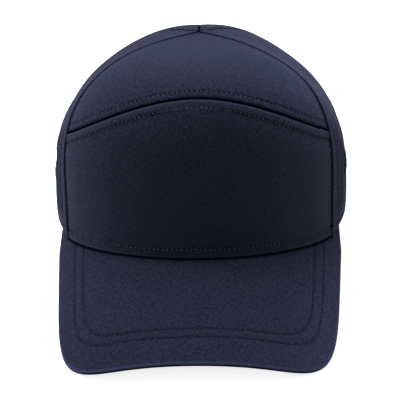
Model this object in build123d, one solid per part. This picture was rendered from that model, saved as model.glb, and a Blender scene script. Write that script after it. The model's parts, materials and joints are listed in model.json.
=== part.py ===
from build123d import *
from math import atan2, cos, hypot, pi, radians, sin, sqrt, tan
import os

# Bump cap: a baseball-style fabric cover over a moulded protective shell with foam pads.
# Everything is drawn in the cap's own frame: millimetres, +Z up, the face of the wearer towards -Y,
# and z = 0 at the rim where the peak is sewn on. The finished parts are then tilted so that the cap
# stands on the corners of its peak and on its rear strap, with the origin under the box's centre.

# Crown: a rounded dome whose plan is a superellipse and whose front is fuller than its sides.
HALF_WIDTH = 95.0
FRONT_REACH = 111.0
REAR_REACH = 115.7
WIDEST_HEIGHT = 21.2
DOME_RISE = 87.6
TUCK_DEPTH = 200.0
PLAN_POWER = 2.39
SIDE_POWER = 2.005
FRONT_POWER = 4.42
REAR_POWER = 2.25
DOME_SWEEP = radians(118)
DOME_GRID = 37
DOME_FOOT = -16.0
FIT_TOLERANCE = 0.02

# Rim: level at the front and the sides, lower at the nape.
SIDE_RIM_DROP = 4.4
REAR_RIM_DROP = 8.0

# Panels and seams.
APEX_Y = 2.0
FRONT_SEAM_X = 81.4
REAR_SEAM_ANGLE = radians(45)
ARCH_TOP = 93.6
ARCH_FALL = 0.0049
FAR = 400.0
UNDER = -60.0
OVER = 160.0

# Layers of the cover and of the insert, each given as its depth below the crown's outer face.
FABRIC = 1.6
HEM_INNER = 3.0
LINING_INNER = 2.8
TAPE_INNER = 2.6
LOOP_INNER = 2.8
HOOK_OUTER = 3.2
SHELL_OUTER = 5.0
SHELL_INNER = 7.2
PAD_OUTER = 7.4
PAD_INNER = 13.0
SWEATBAND_INNER = 10.4

# Inside trims of the cover.
HEM_HEIGHT = 22.0
HEM_RAISED = 0.4
TAPE_WIDTH = 12.0
TAPE_START = 24.0
LINING_MARGIN = 8.0
LINING_HALF_WIDTH = 62.0
TRIM_GAP = 1.0

# Hook-and-loop patches: one on each side and one behind the top.
SIDE_PATCH_Y = (30.0, 60.0)
SIDE_PATCH_Z = (56.0, 72.0)
REAR_PATCH_Y = (40.0, 66.0)
REAR_PATCH_HALF_WIDTH = 20.0
REAR_PATCH_Z = 60.0
HOOKS_SMALLER = 1.0

# Side vents: a mesh window in each side panel, over slots in the shell.
VENT_FRONT_Y = -44.0
VENT_REAR_Y = 26.0
VENT_LOW = 27.0
VENT_FRONT_RADIUS = 8.0
VENT_REAR_RADIUS = 13.0
VENT_REAR_RAISED = 4.0
VENT_TAPE_GAP = 3.0
MESH_SET_IN = 0.3
MESH_THICKNESS = 0.8

# Half-moon opening at the nape, and its bound edge.
NAPE_HALF_WIDTH = 52.0
NAPE_HEIGHT = 58.0
BINDING_WIDTH = 5.0
BINDING_PROUD = 0.7
BINDING_INNER = 2.3
BINDING_FOOT = 18.0
BINDING_OVERHANG = 1.2

# Peak: a stiff board between two fabric covers.
PEAK_GRID_X = [-105 + 30 * i for i in range(8)]
PEAK_GRID_Y = [-195 + 33 * i for i in range(6)]
UNDER_PEAK = 40.0
PEAK_BLOCK_LOW = -90.0
PEAK_STEPS = 36
PEAK_SLOPE = tan(radians(24.8))
PEAK_ARCH = 0.00143
PEAK_CURL = 3.3e-7
PEAK_HALF_WIDTH = 88.2
PEAK_LENGTH = 108.0
PEAK_START_Y = -71.5
PEAK_POWER = 5.94
PEAK_TAPER = 0.00109
PEAK_TAPER_Y = -46.0
PEAK_BACK_Y = -40.0
PEAK_THICKNESS = 3.2
BOARD_THICKNESS = 1.6
BOARD_SET_IN = 1.3
PEAK_TUCK = 3.0

# Rear strap: a band from the left, a buckle on a tab at the right, and a tail that folds back.
STRAP_LOW = -1.0
STRAP_HIGH = 16.0
STRAP_THICKNESS = 1.5
STRAP_END_X = 56.0
PIVOT_X = 30.0
TAB_BAR_X = 40.0
BAR_RADIUS = 0.9
BAR_CLEARANCE = 0.3
SLEEVE_RADIUS = 2.5
TAB_SLEEVE_RADIUS = 2.1
RAIL_HEIGHT = 2.6
RAIL_DEPTH = 2.8
RAIL_OVERLAP = 0.6
BUCKLE_SLACK = 0.4
TAIL_SET_IN = 1.5
TAIL_END_X = -34.0
TAIL_TIP = 20.0
TAIL_TIP_RADIUS = 6.0
RAIL_ROUNDING = 0.9
TAB_SET_IN = 1.0
LOOP_PATCH_X = (-40.0, 22.0)
TAIL_PATCH_X = (-31.0, 20.0)
PATCH_THICKNESS = 0.8
PATCH_MARGIN = 2.0
RUNNING_GAP = 0.4

# Insert.
SHELL_FOOT = 14.0
SHELL_NAPE_HALF_WIDTH = 62.0
SHELL_NAPE_HEIGHT = 68.0
PAD_GAP = 9.0
CROWN_PAD_Y = 4.0
CROWN_PAD_RADIUS = 38.0
CROWN_PAD_CUT = CROWN_PAD_RADIUS + PAD_GAP
FRONT_PAD_Y = -50.0
FRONT_PAD_HALF_WIDTH = 46.0
SIDE_PAD_Y = (-38.0, 28.0)
PAD_FOOT = 40.0
SIDE_PAD_FOOT = 20.0
PAD_SLOT_LENGTH = 62.0
PAD_SLOT_WIDTH = 10.0
NAPE_PAD_GAP = 2.0
SWEATBAND_FOOT = 15.5
SWEATBAND_TOP = 37.0
SWEATBAND_BACK_Y = -40.0
SLOT_RADIUS = 3.5
SLOT_LENGTH = 30.0
SIDE_SLOT_Z = 42.0
SIDE_SLOT_Y = (-22.0, 12.0)
TOP_SLOT_X = 44.0
TOP_SLOT_Y = -8.0

# Tilt that lets the cap stand.
STAND_PITCH = -7.65
TESSELLATION = 0.02


def dome_point(across, along, inset):
    """A point of the dome: the square (across, along) is wrapped over it like a cloth, from the top."""
    polar = hypot(across, along) * DOME_SWEEP
    turn = atan2(along, across)
    dx, dy, dz = sin(polar) * cos(turn), sin(polar) * sin(turn), cos(polar)
    end_power = FRONT_POWER if dy < 0 else REAR_POWER
    power = SIDE_POWER + (end_power - SIDE_POWER) * sin(turn) ** 2
    reach = (FRONT_REACH if dy < 0 else REAR_REACH) - inset
    height = DOME_RISE - inset if dz > 0 else TUCK_DEPTH
    plan = (abs(dx) / (HALF_WIDTH - inset)) ** PLAN_POWER + (abs(dy) / reach) ** PLAN_POWER
    size = plan ** (power / PLAN_POWER) + (abs(dz) / height) ** power
    radius = size ** (-1 / power)
    return Vector(dx * radius, dy * radius, WIDEST_HEIGHT + dz * radius)


DOMES = {}


def dome(inset):
    """The whole space inside one layer of the crown, down to a flat foot below the rim."""
    if inset not in DOMES:
        steps = [2 * i / (DOME_GRID - 1) - 1 for i in range(DOME_GRID)]
        grid = [[dome_point(u, v, inset) for v in steps] for u in steps]
        skin = Face.make_surface_from_array_of_points(grid, tol=FIT_TOLERANCE)
        pieces = skin.split(Plane.XY.offset(DOME_FOOT), keep=Keep.ALL)
        cap = max(pieces, key=lambda piece: piece.center().Z)
        foot = Face(cap.outer_wire())
        DOMES[inset] = Solid(Shell([cap, foot]))
    return DOMES[inset]


def layer(outer, inner):
    return dome(outer) - dome(inner)


def plan_block(points, low=UNDER, high=OVER):
    return Pos(0, 0, low) * extrude(make_face(Polyline(*points, close=True)), high - low)


def plan_reach(x, inset=0.0, front=False):
    """How far the crown's plan reaches along Y at a given x, at its widest height."""
    reach = (FRONT_REACH if front else REAR_REACH) - inset
    return reach * (1 - (abs(x) / (HALF_WIDTH - inset)) ** PLAN_POWER) ** (1 / PLAN_POWER)


def slab(y_low, y_high, x_low=-FAR, x_high=FAR, z_low=UNDER, z_high=OVER):
    size = (x_high - x_low, y_high - y_low, z_high - z_low)
    centre = ((x_low + x_high) / 2, (y_low + y_high) / 2, (z_low + z_high) / 2)
    return Pos(*centre) * Box(*size)


def below_rim(raise_by=0.0):
    """The space under the rim: level at the front, curving down towards the nape."""
    z = raise_by - SIDE_RIM_DROP
    rear = (REAR_REACH + 5, raise_by - REAR_RIM_DROP)
    side = Line((-FAR, z), (0, z)) + Bezier((0, z), (REAR_REACH / 2, z), rear)
    side += Polyline(rear, (FAR, rear[1]), (FAR, -FAR), (-FAR, -FAR), (-FAR, z))
    return extrude(Plane.YZ * make_face(side), HALF_WIDTH + 30, both=True)


def seam_corner(side):
    """Where the front seam meets the rim, on the side of +X (1) or -X (-1)."""
    return (side * FRONT_SEAM_X, -plan_reach(FRONT_SEAM_X, front=True))


def ray(point, reach=3.0):
    return (point[0] * reach, APEX_Y + (point[1] - APEX_Y) * reach)


def front_sector():
    right = ray(seam_corner(1))
    left = ray(seam_corner(-1))
    return plan_block([(0, APEX_Y), right, (right[0], -FAR), (left[0], -FAR), left])


def rear_ray(side):
    return (side * FAR * sin(REAR_SEAM_ANGLE), APEX_Y + FAR * cos(REAR_SEAM_ANGLE))


def side_sector(side):
    front = ray(seam_corner(side))
    rear = rear_ray(side)
    return plan_block([(0, APEX_Y), front, (side * FAR, front[1]), (side * FAR, rear[1]), rear])


def rear_sector(side):
    rear = rear_ray(side)
    return plan_block([(0, APEX_Y), rear, (rear[0], FAR), (0, FAR)])


def above_arch(shift=0.0):
    """The space above the arched seam between the front panel and the top panel."""
    x = 130.0
    end = ARCH_TOP + shift - ARCH_FALL * x * x
    curve = Bezier((-x, end), (0, ARCH_TOP + shift + ARCH_FALL * x * x), (x, end))
    outline = curve + Polyline((x, end), (x, FAR), (-x, FAR), (-x, end))
    return extrude(Plane.XZ * make_face(outline), FAR, both=True)


def nape_arch(half_width, height):
    """The half-moon at the nape, as a block running back from the middle of the head."""
    return Pos(0, FAR / 2, 0) * Rot(90, 0, 0) * extrude(Ellipse(half_width, height), FAR / 2, both=True)


def vent_window(shrink=0.0):
    """The rounded outline of the side vents, wider towards the rear, cut through both sides."""
    front = VENT_FRONT_RADIUS - shrink
    rear = VENT_REAR_RADIUS - shrink
    front_centre = (VENT_FRONT_Y + VENT_FRONT_RADIUS, VENT_LOW + VENT_FRONT_RADIUS)
    rear_centre = (VENT_REAR_Y - VENT_REAR_RADIUS, VENT_LOW + VENT_REAR_RADIUS + VENT_REAR_RAISED)
    ends = Sketch() + [Pos(*front_centre) * Circle(front), Pos(*rear_centre) * Circle(rear)]
    outline = make_hull(ends.edges())
    return extrude(Plane.YZ * outline, FAR, both=True)


def peak_height(x, y):
    return PEAK_SLOPE * (y + FRONT_REACH) - PEAK_ARCH * x * x - PEAK_CURL * x**4


def peak_slab(top, bottom):
    """A slab that follows the arched, sloping peak, between two depths below its upper face."""
    grid = [[Vector(x, y, peak_height(x, y) - top) for y in PEAK_GRID_Y] for x in PEAK_GRID_X]
    skin = Face.make_surface_from_array_of_points(grid, tol=FIT_TOLERANCE)
    return Solid.extrude(skin, Vector(0, 0, top - bottom))


def peak_outline(inset):
    """The peak seen from above, as a block: straight sides, round corners, nearly straight front."""
    points = []
    for i in range(PEAK_STEPS + 1):
        turn = pi * i / PEAK_STEPS
        wide = (abs(cos(turn)) / (PEAK_HALF_WIDTH - inset)) ** PEAK_POWER
        long = (abs(sin(turn)) / (PEAK_LENGTH - inset)) ** PEAK_POWER
        radius = (wide + long) ** (-1 / PEAK_POWER)
        y = PEAK_START_Y - radius * sin(turn)
        points.append((radius * cos(turn) * (1 + PEAK_TAPER * (y - PEAK_TAPER_Y)), y))
    first, last = points[0], points[-1]
    edge = Spline(*points) + Polyline(last, (last[0], PEAK_BACK_Y), (first[0], PEAK_BACK_Y), first)
    return Pos(0, 0, PEAK_BLOCK_LOW) * extrude(make_face(edge), -2 * PEAK_BLOCK_LOW)


def peak_part(top, bottom, inset=0.0):
    return peak_slab(top, bottom) & peak_outline(inset)


def mirrored(shape):
    return mirror(shape, about=Plane.YZ)


# ---------------------------------------------------------------- cover

def crown_skin():
    """The cover's fabric crown before it is cut into panels."""
    return layer(0.0, FABRIC) - below_rim() - peak_part(0.0, UNDER_PEAK)


def cover_panels(parts):
    crown = crown_skin()
    front = crown & front_sector()
    parts["front_panel"] = front - above_arch()
    parts["top_panel"] = front & above_arch()
    side = crown & side_sector(1)
    parts["side_panel_right"] = side - vent_window()
    parts["side_panel_left"] = mirrored(parts["side_panel_right"])
    rear = crown & rear_sector(1)
    parts["rear_panel_right"] = rear - nape_arch(NAPE_HALF_WIDTH, NAPE_HEIGHT)
    parts["rear_panel_left"] = mirrored(parts["rear_panel_right"])


def vent_meshes(parts):
    mesh = layer(MESH_SET_IN, MESH_SET_IN + MESH_THICKNESS) & vent_window()
    parts["vent_mesh_right"] = mesh & slab(-FAR, FAR, x_low=0)
    parts["vent_mesh_left"] = mirrored(parts["vent_mesh_right"])


def nape_binding(parts):
    """A folded tape over the raw edge of the half-moon, one leg outside and one leg inside."""
    ring = nape_arch(NAPE_HALF_WIDTH, NAPE_HEIGHT)
    ring += nape_arch(NAPE_HALF_WIDTH + BINDING_WIDTH, NAPE_HEIGHT + BINDING_WIDTH)
    ring -= nape_arch(NAPE_HALF_WIDTH - BINDING_OVERHANG, NAPE_HEIGHT - BINDING_OVERHANG)
    tape = layer(-BINDING_PROUD, BINDING_INNER) & ring
    tape -= slab(-FAR, FAR, z_high=BINDING_FOOT)
    parts["nape_binding"] = tape - parts["rear_panel_right"] - parts["rear_panel_left"]


def inside_trims(parts):
    """The lining of the front, the hem band inside the rim and the tapes over the seams."""
    margin = BINDING_WIDTH + TRIM_GAP
    nape = nape_arch(NAPE_HALF_WIDTH + margin, NAPE_HEIGHT + margin)
    hem = layer(FABRIC, HEM_INNER) - below_rim(HEM_RAISED) - peak_part(0.0, UNDER_PEAK)
    hem -= Pos(0, 0, HEM_HEIGHT) * slab(-FAR, FAR, z_low=0)
    parts["hem_band"] = hem - nape
    lining = layer(FABRIC, LINING_INNER) & front_sector()
    lining -= above_arch(-LINING_MARGIN)
    lining -= slab(-FAR, FAR, z_high=TAPE_START)
    lining &= slab(-FAR, FAR, -LINING_HALF_WIDTH, LINING_HALF_WIDTH)
    parts["front_lining"] = lining
    parts["seam_tapes"] = seam_tapes(nape)


def seam_tapes(nape):
    """Tapes over the five seams that meet at the apex, joined there into one piece."""
    hub = Pos(0, APEX_Y, 0)
    front_corner = seam_corner(1)
    front_turn = atan2(front_corner[1] - APEX_Y, front_corner[0])
    rear_turn = pi / 2 - REAR_SEAM_ANGLE
    turns = [front_turn, pi - front_turn, rear_turn, pi - rear_turn, pi / 2]
    cross = Sketch()
    for turn in turns:
        cross += Rot(0, 0, turn * 180 / pi) * Pos(FAR / 4, 0) * Rectangle(FAR / 2, TAPE_WIDTH)
    cross += Circle(TAPE_WIDTH)
    tapes = layer(FABRIC, TAPE_INNER) & (hub * extrude(cross, OVER))
    return tapes - slab(-FAR, FAR, z_high=TAPE_START) - nape - vent_window(-VENT_TAPE_GAP)


def patch_blocks(grow=0.0):
    """Where the hook-and-loop patches sit: two on the shell's sides and one behind its top."""
    y_low, y_high = SIDE_PATCH_Y
    z_low, z_high = SIDE_PATCH_Z
    side = slab(y_low - grow, y_high + grow, z_low=z_low - grow, z_high=z_high + grow)
    y_low, y_high = REAR_PATCH_Y
    half = REAR_PATCH_HALF_WIDTH + grow
    return side + slab(y_low - grow, y_high + grow, -half, half, z_low=REAR_PATCH_Z)


def loop_patches(parts):
    patches = layer(FABRIC, LOOP_INNER) & patch_blocks()
    parts["loop_patches"] = patches - parts["seam_tapes"]


def peak_parts(parts):
    """The board, and two fabric covers that meet round its edge."""
    half = PEAK_THICKNESS / 2
    skin = half - BOARD_THICKNESS / 2
    crown = dome(PEAK_TUCK)
    board = peak_part(skin, PEAK_THICKNESS - skin, BOARD_SET_IN) - crown
    parts["peak_board"] = board
    parts["peak_top_cover"] = peak_part(0.0, half) - crown - board
    parts["peak_under_cover"] = peak_part(half, PEAK_THICKNESS) - crown - board


# ---------------------------------------------------------------- rear strap

# The strap lies just inside the fabric; on it are the loop strip, a gap, the hooks and the tail.
BAND_OUTER = FABRIC
BAND_INNER = BAND_OUTER + STRAP_THICKNESS
LOOPS_OUTER = BAND_OUTER - PATCH_THICKNESS
HOOKS_INNER = LOOPS_OUTER - RUNNING_GAP
HOOKS_OUTER = HOOKS_INNER - PATCH_THICKNESS
TAIL_OUTER = HOOKS_OUTER - STRAP_THICKNESS
BAR_DEPTH = (BAND_INNER + TAIL_OUTER) / 2
PIVOT_Y = plan_reach(PIVOT_X, BAR_DEPTH)
TAB_BAR_Y = plan_reach(TAB_BAR_X, BAR_DEPTH)
TAIL_LOW = STRAP_LOW + TAIL_SET_IN
TAIL_HIGH = STRAP_HIGH - TAIL_SET_IN


def strap_run(outer, inner, x_low, x_high, z_low, z_high):
    return layer(outer, inner) & slab(0, FAR, x_low, x_high, z_low, z_high)


def upright(radius, x, y, z_low, z_high):
    return Pos(x, y, (z_low + z_high) / 2) * Cylinder(radius, z_high - z_low)


def strap_parts(parts):
    """The band, the buckle with its tab, and the tail that turns round the buckle's bar."""
    keep_off = upright(SLEEVE_RADIUS + BAR_CLEARANCE, PIVOT_X, PIVOT_Y, -FAR, FAR)
    band = strap_run(BAND_OUTER, BAND_INNER, -STRAP_END_X, PIVOT_X, STRAP_LOW, STRAP_HIGH)
    parts["strap_band"] = band - keep_off
    low, high = STRAP_LOW + PATCH_MARGIN, STRAP_HIGH - PATCH_MARGIN
    parts["strap_loop_patch"] = strap_run(LOOPS_OUTER, BAND_OUTER, *LOOP_PATCH_X, low, high)
    low, high = STRAP_LOW + TAB_SET_IN, STRAP_HIGH - TAB_SET_IN
    tab = strap_run(BAND_OUTER, BAND_INNER, TAB_BAR_X, STRAP_END_X, low, high)
    tab += upright(TAB_SLEEVE_RADIUS, TAB_BAR_X, TAB_BAR_Y, low, high)
    parts["buckle_tab"] = tab - upright(BAR_RADIUS, TAB_BAR_X, TAB_BAR_Y, -FAR, FAR)
    parts["buckle"] = buckle()
    parts["strap_tail"], parts["tail_hook_patch"] = strap_tail()


def buckle():
    """A rectangular loop: two upright bars joined by a rail above and a rail below."""
    low, high = STRAP_LOW - BUCKLE_SLACK, STRAP_HIGH + BUCKLE_SLACK
    loop = upright(BAR_RADIUS, PIVOT_X, PIVOT_Y, low, high)
    loop += upright(BAR_RADIUS, TAB_BAR_X, TAB_BAR_Y, low, high)
    turn = atan2(TAB_BAR_Y - PIVOT_Y, TAB_BAR_X - PIVOT_X) * 180 / pi
    length = TAB_BAR_X - PIVOT_X + 2 * TAB_SLEEVE_RADIUS
    rail = Rot(0, 0, turn) * fillet(Box(length, RAIL_DEPTH, RAIL_HEIGHT).edges(), RAIL_ROUNDING)
    middle = ((PIVOT_X + TAB_BAR_X) / 2, (PIVOT_Y + TAB_BAR_Y) / 2)
    offset = RAIL_HEIGHT / 2 - RAIL_OVERLAP
    return loop + Pos(*middle, high + offset) * rail + Pos(*middle, low - offset) * rail


def strap_tail():
    """The strap's free end: a sleeve round the buckle's bar and a flap with hooks on its inside."""
    middle = (TAIL_LOW + TAIL_HIGH) / 2
    tip = Pos(TAIL_END_X + TAIL_TIP, 0, middle) * Box(2 * TAIL_TIP, 3 * FAR, TAIL_HIGH - TAIL_LOW)
    tip = fillet(tip.edges().filter_by(Axis.Y).group_by(Axis.X)[0], TAIL_TIP_RADIUS)
    flap = strap_run(TAIL_OUTER, HOOKS_OUTER, TAIL_END_X, PIVOT_X, TAIL_LOW, TAIL_HIGH)
    flap = (flap & slab(0, FAR, x_low=TAIL_END_X + TAIL_TIP)) + (flap & tip)
    sleeve = upright(SLEEVE_RADIUS, PIVOT_X, PIVOT_Y, TAIL_LOW, TAIL_HIGH)
    tail = flap + sleeve - upright(BAR_RADIUS + BAR_CLEARANCE, PIVOT_X, PIVOT_Y, -FAR, FAR)
    low, high = TAIL_LOW + PATCH_MARGIN, TAIL_HIGH - PATCH_MARGIN
    patch = strap_run(HOOKS_OUTER, HOOKS_INNER, *TAIL_PATCH_X, low, high)
    return tail, patch


# ---------------------------------------------------------------- insert

def shell(parts):
    """The moulded shell: open at the nape, with vent slots behind the mesh and over the top."""
    body = layer(SHELL_OUTER, SHELL_INNER) - slab(-FAR, FAR, z_high=SHELL_FOOT)
    body -= nape_arch(SHELL_NAPE_HALF_WIDTH, SHELL_NAPE_HEIGHT)
    slot = extrude(SlotOverall(SLOT_LENGTH, 2 * SLOT_RADIUS), FAR, both=True)
    side_slot = Rot(90, 0, 90) * slot
    for y in SIDE_SLOT_Y:
        body -= Pos(0, y, SIDE_SLOT_Z) * side_slot
    top_slot = extrude(SlotOverall(SLOT_LENGTH, 2 * SLOT_RADIUS), OVER)
    for side in (-1, 1):
        body -= Pos(side * TOP_SLOT_X, TOP_SLOT_Y, 0) * Rot(0, 0, 90) * top_slot
    parts["shell"] = body


def hook_patches(parts):
    parts["shell_hook_patches"] = layer(HOOK_OUTER, SHELL_OUTER) & patch_blocks(-HOOKS_SMALLER)


def pads(parts):
    """Foam pads on the inside of the shell, with air channels between them."""
    foam = layer(PAD_OUTER, PAD_INNER)
    middle = Pos(0, CROWN_PAD_Y, WIDEST_HEIGHT)
    parts["crown_pad"] = foam & (middle * extrude(Circle(CROWN_PAD_RADIUS), OVER))
    ring = foam - (middle * extrude(Circle(CROWN_PAD_CUT), OVER))
    half = FRONT_PAD_HALF_WIDTH
    parts["front_pad"] = ring & slab(-FAR, FRONT_PAD_Y, -half, half, z_low=PAD_FOOT)
    side = ring & slab(*SIDE_PAD_Y, x_low=0, z_low=SIDE_PAD_FOOT)
    slot = extrude(SlotOverall(PAD_SLOT_LENGTH, PAD_SLOT_WIDTH), FAR)
    side -= Pos(0, 0, SIDE_SLOT_Z) * Rot(90, 0, 90) * slot
    parts["side_pad_right"] = side
    parts["side_pad_left"] = mirrored(side)
    rear = ring & slab(SIDE_PAD_Y[1] + PAD_GAP, FAR, x_low=PAD_GAP, z_low=SIDE_PAD_FOOT)
    rear -= nape_arch(SHELL_NAPE_HALF_WIDTH + NAPE_PAD_GAP, SHELL_NAPE_HEIGHT + NAPE_PAD_GAP)
    parts["rear_pad_right"] = rear
    parts["rear_pad_left"] = mirrored(rear)


def sweatband(parts):
    """A soft band inside the shell's lower edge, round the forehead to the temples."""
    run = slab(-FAR, SWEATBAND_BACK_Y, z_low=SWEATBAND_FOOT, z_high=SWEATBAND_TOP)
    parts["sweatband"] = layer(PAD_OUTER, SWEATBAND_INNER) & run


def build():
    parts = {}
    cover_panels(parts)
    vent_meshes(parts)
    nape_binding(parts)
    inside_trims(parts)
    loop_patches(parts)
    peak_parts(parts)
    strap_parts(parts)
    shell(parts)
    hook_patches(parts)
    pads(parts)
    sweatband(parts)
    return parts


def stand(parts):
    """Tilt the cap back and set it on z = 0, centred; returns the placed parts and the place."""
    tilt = Rot(STAND_PITCH, 0, 0)
    outermost = ["peak_top_cover", "peak_under_cover", "rear_panel_right", "strap_tail", "buckle"]
    skin = {name: (tilt * parts[name]).tessellate(TESSELLATION)[0] for name in outermost}
    for name, points in skin.items():
        print("lowest point of", name, round(min(point.Z for point in points), 2))
    points = [point for part in skin.values() for point in part]
    middle = (min(point.Y for point in points) + max(point.Y for point in points)) / 2
    place = Pos(0, -middle, -min(point.Z for point in points)) * tilt
    return {name: place * part for name, part in parts.items()}, place


os.makedirs("parts", exist_ok=True)
standing_parts, cap_place = stand(build())
for node, solid in standing_parts.items():
    export_step(solid, f"parts/{node}.step")
print("place", cap_place.position, cap_place.orientation)
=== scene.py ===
"""Looks of the bump cap: sewn fabric panels, peak, mesh vents, nape strap, shell and pads."""

import json

import bpy
import numpy as np
from mathutils import Matrix, Vector
from mathutils.geometry import delaunay_2d_cdt


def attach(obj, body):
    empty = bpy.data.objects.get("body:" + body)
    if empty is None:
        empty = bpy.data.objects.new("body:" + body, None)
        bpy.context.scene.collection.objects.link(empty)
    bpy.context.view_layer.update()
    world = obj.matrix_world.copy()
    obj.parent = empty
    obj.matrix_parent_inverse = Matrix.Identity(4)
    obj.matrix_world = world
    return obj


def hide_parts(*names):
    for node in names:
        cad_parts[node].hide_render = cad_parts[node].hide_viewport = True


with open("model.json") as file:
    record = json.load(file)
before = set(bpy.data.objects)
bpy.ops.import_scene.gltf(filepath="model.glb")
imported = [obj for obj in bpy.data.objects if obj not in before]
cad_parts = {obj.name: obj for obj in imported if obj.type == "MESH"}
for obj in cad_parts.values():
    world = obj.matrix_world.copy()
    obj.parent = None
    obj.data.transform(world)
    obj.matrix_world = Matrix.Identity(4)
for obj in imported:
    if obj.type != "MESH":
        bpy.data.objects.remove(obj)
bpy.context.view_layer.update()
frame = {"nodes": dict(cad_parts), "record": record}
random = np.random.default_rng(7)

# The cap is worked out in its own frame, in millimetres: z = 0 at the front rim, the peak towards -y.
# The mount at the head opening says where that frame sits in the model.
MILLIMETRE = 0.001
MOUNT = frame["record"]["mounts"][0]
ORIGIN = np.array(MOUNT["pos_m"], float)
UP = -np.array(MOUNT["axis"], float)
TURN = np.column_stack([(1, 0, 0), np.cross(UP, (1, 0, 0)), UP])

# Crown.
HALF_WIDTH = 95.0
FRONT_REACH = 111.0
REAR_REACH = 115.7
WIDEST_HEIGHT = 21.2
DOME_RISE = 87.6
TUCK_DEPTH = 200.0
PLAN_POWER = 2.39
SIDE_POWER = 2.005
FRONT_POWER = 4.42
REAR_POWER = 2.25
CENTRE = np.array([0.0, 0.0, WIDEST_HEIGHT])
CHART_SCALE = 100.0
BISECTIONS = 40
RAY_LENGTH = 260.0
AHEAD, BEHIND, SIDEWAYS, UPWARD = (0, -1, 0), (0, 1, 0), (1, 0, 0), (0, 0, 1)
SIDE_RIM_DROP = 4.4
REAR_RIM_DROP = 8.0
PEAK_BLEND_Y = (-56.0, -63.0)

# Seams and panels.
APEX = np.array([0.0, 2.0, WIDEST_HEIGHT])
FRONT_SEAM_X = 81.4
ARCH_TOP = 93.6
ARCH_FALL = 0.0049
FABRIC = 1.6
SLIT = 0.12
EDGE_STEP = 1.3
RAILS = (0.35, 0.8, 1.4, 2.0, 2.6, 3.2, 3.9, 4.7, 5.4, 6.0, 6.7)
FILL_STEP = 2.3
GROOVE_DEPTH = 1.15
GROOVE_WIDTH = 0.75
WELT_HEIGHT = 0.45
STITCH_DIP = 0.3
PUCKER = 0.12
PILLOW = 0.5
PILLOW_REACH = 12.0
PUCKER_PITCH = 6.6
SEAM_SWEEP = 118
CURL_HEIGHT = 4.5
CURL_DEPTH = 1.9
SAGS = ((60.0, 92.0, 30.0, 2.3), (-62.0, 90.0, 26.0, 0.9))

# Side vents.
VENT_FRONT = (-36.0, 35.0, 8.0)
VENT_REAR = (13.0, 44.0, 13.0)

# Nape.
NAPE_HALF_WIDTH = 52.0
NAPE_HEIGHT = 58.0
NAPE_START_Y = 7.8

# Peak.
PEAK_SLOPE = np.tan(np.radians(24.8))
PEAK_ARCH = 0.00143
PEAK_CURL = 3.3e-7
PEAK_HALF_WIDTH = 90.6
PEAK_LENGTH = 108.0
PEAK_START_Y = -71.5
PEAK_POWER = 5.94
PEAK_TAPER = 0.00109
PEAK_TAPER_Y = -46.0
PEAK_BACK_Y = -40.0
PEAK_THICKNESS = 3.2
PEAK_SKIN = 0.7
PEAK_TUCK = 3.0

# Stitches.
STITCH_PITCH = 2.8
STITCH_LENGTH = 2.1
STITCH_RADIUS = 0.24
STITCH_SINK = 0.2


# ---------------------------------------------------------------- shapes of the crown

def rise(value, low, high):
    """0 at low, 1 at high, and a smooth step between them."""
    t = np.clip((value - low) / (high - low), 0, 1)
    return t * t * (3 - 2 * t)


def bell(value, centre, width):
    """1 at the centre, falling smoothly to 0 on both sides."""
    return np.exp(-(((value - centre) / width) ** 2))


def unit(vectors):
    return vectors / np.linalg.norm(vectors, axis=1)[:, None]


def walk(curve):
    """How far along a curve each of its points is."""
    return np.concatenate([[0], np.cumsum(np.linalg.norm(np.diff(curve, axis=0), axis=1))])


def along_curve(curve, walked, at):
    """A curve's points, or what is held along it, at some distances from its start."""
    return np.column_stack([np.interp(at, walked, axis) for axis in curve.T])


def placed(points):
    """From the cap's own frame in millimetres to the model's frame in metres."""
    return np.asarray(points) @ TURN.T * MILLIMETRE + ORIGIN


def crown_radius(way, inset):
    """How far the crown, or a layer inside it, is from its centre in each direction."""
    dx, dy, dz = way.T
    flat = np.maximum(np.hypot(dx, dy), 1e-12)
    front = dy < 0
    end_power = np.where(front, FRONT_POWER, REAR_POWER)
    power = SIDE_POWER + (end_power - SIDE_POWER) * (dy / flat) ** 2
    reach = np.where(front, FRONT_REACH, REAR_REACH) - inset
    height = np.where(dz > 0, DOME_RISE - inset, TUCK_DEPTH)
    wide = (np.abs(dx) / (HALF_WIDTH - inset)) ** PLAN_POWER
    size = (wide + (np.abs(dy) / reach) ** PLAN_POWER) ** (power / PLAN_POWER)
    return (size + (np.abs(dz) / height) ** power) ** (-1 / power)


def crown_points(chart, inset=0.0):
    """Points of the crown from its chart, which is the crown laid flat around its top."""
    chart = np.asarray(chart, float)
    size = np.hypot(*chart.T)
    polar = size / CHART_SCALE
    turn = chart / np.maximum(size, 1e-9)[:, None]
    way = np.column_stack([turn * np.sin(polar)[:, None], np.cos(polar)])
    return CENTRE + way * crown_radius(way, inset)[:, None]


def chart_of(points):
    """Where points of the crown are on its chart."""
    offset = points - CENTRE
    polar = np.arccos(offset[:, 2] / np.linalg.norm(offset, axis=1))
    flat = offset[:, :2] / np.maximum(np.hypot(*offset[:, :2].T), 1e-9)[:, None]
    return flat * polar[:, None] * CHART_SCALE


def crown_normals(chart):
    step = 0.4
    across = crown_points(chart + (step, 0)) - crown_points(chart - (step, 0))
    along = crown_points(chart + (0, step)) - crown_points(chart - (0, step))
    return unit(np.cross(across, along))


def hit(origins, ways, inset=0.0):
    """Where rays from inside the crown meet it."""
    origins, ways = np.broadcast_arrays(np.asarray(origins, float), np.asarray(ways, float))
    low, high = np.zeros(len(ways)), np.full(len(ways), RAY_LENGTH)
    for _ in range(BISECTIONS):
        middle = (low + high) / 2
        offset = origins + ways * middle[:, None] - CENTRE
        size = np.maximum(np.linalg.norm(offset, axis=1), 1e-9)
        within = size < crown_radius(offset / size[:, None], inset)
        low, high = np.where(within, middle, low), np.where(within, high, middle)
    return origins + ways * low[:, None]


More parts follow.
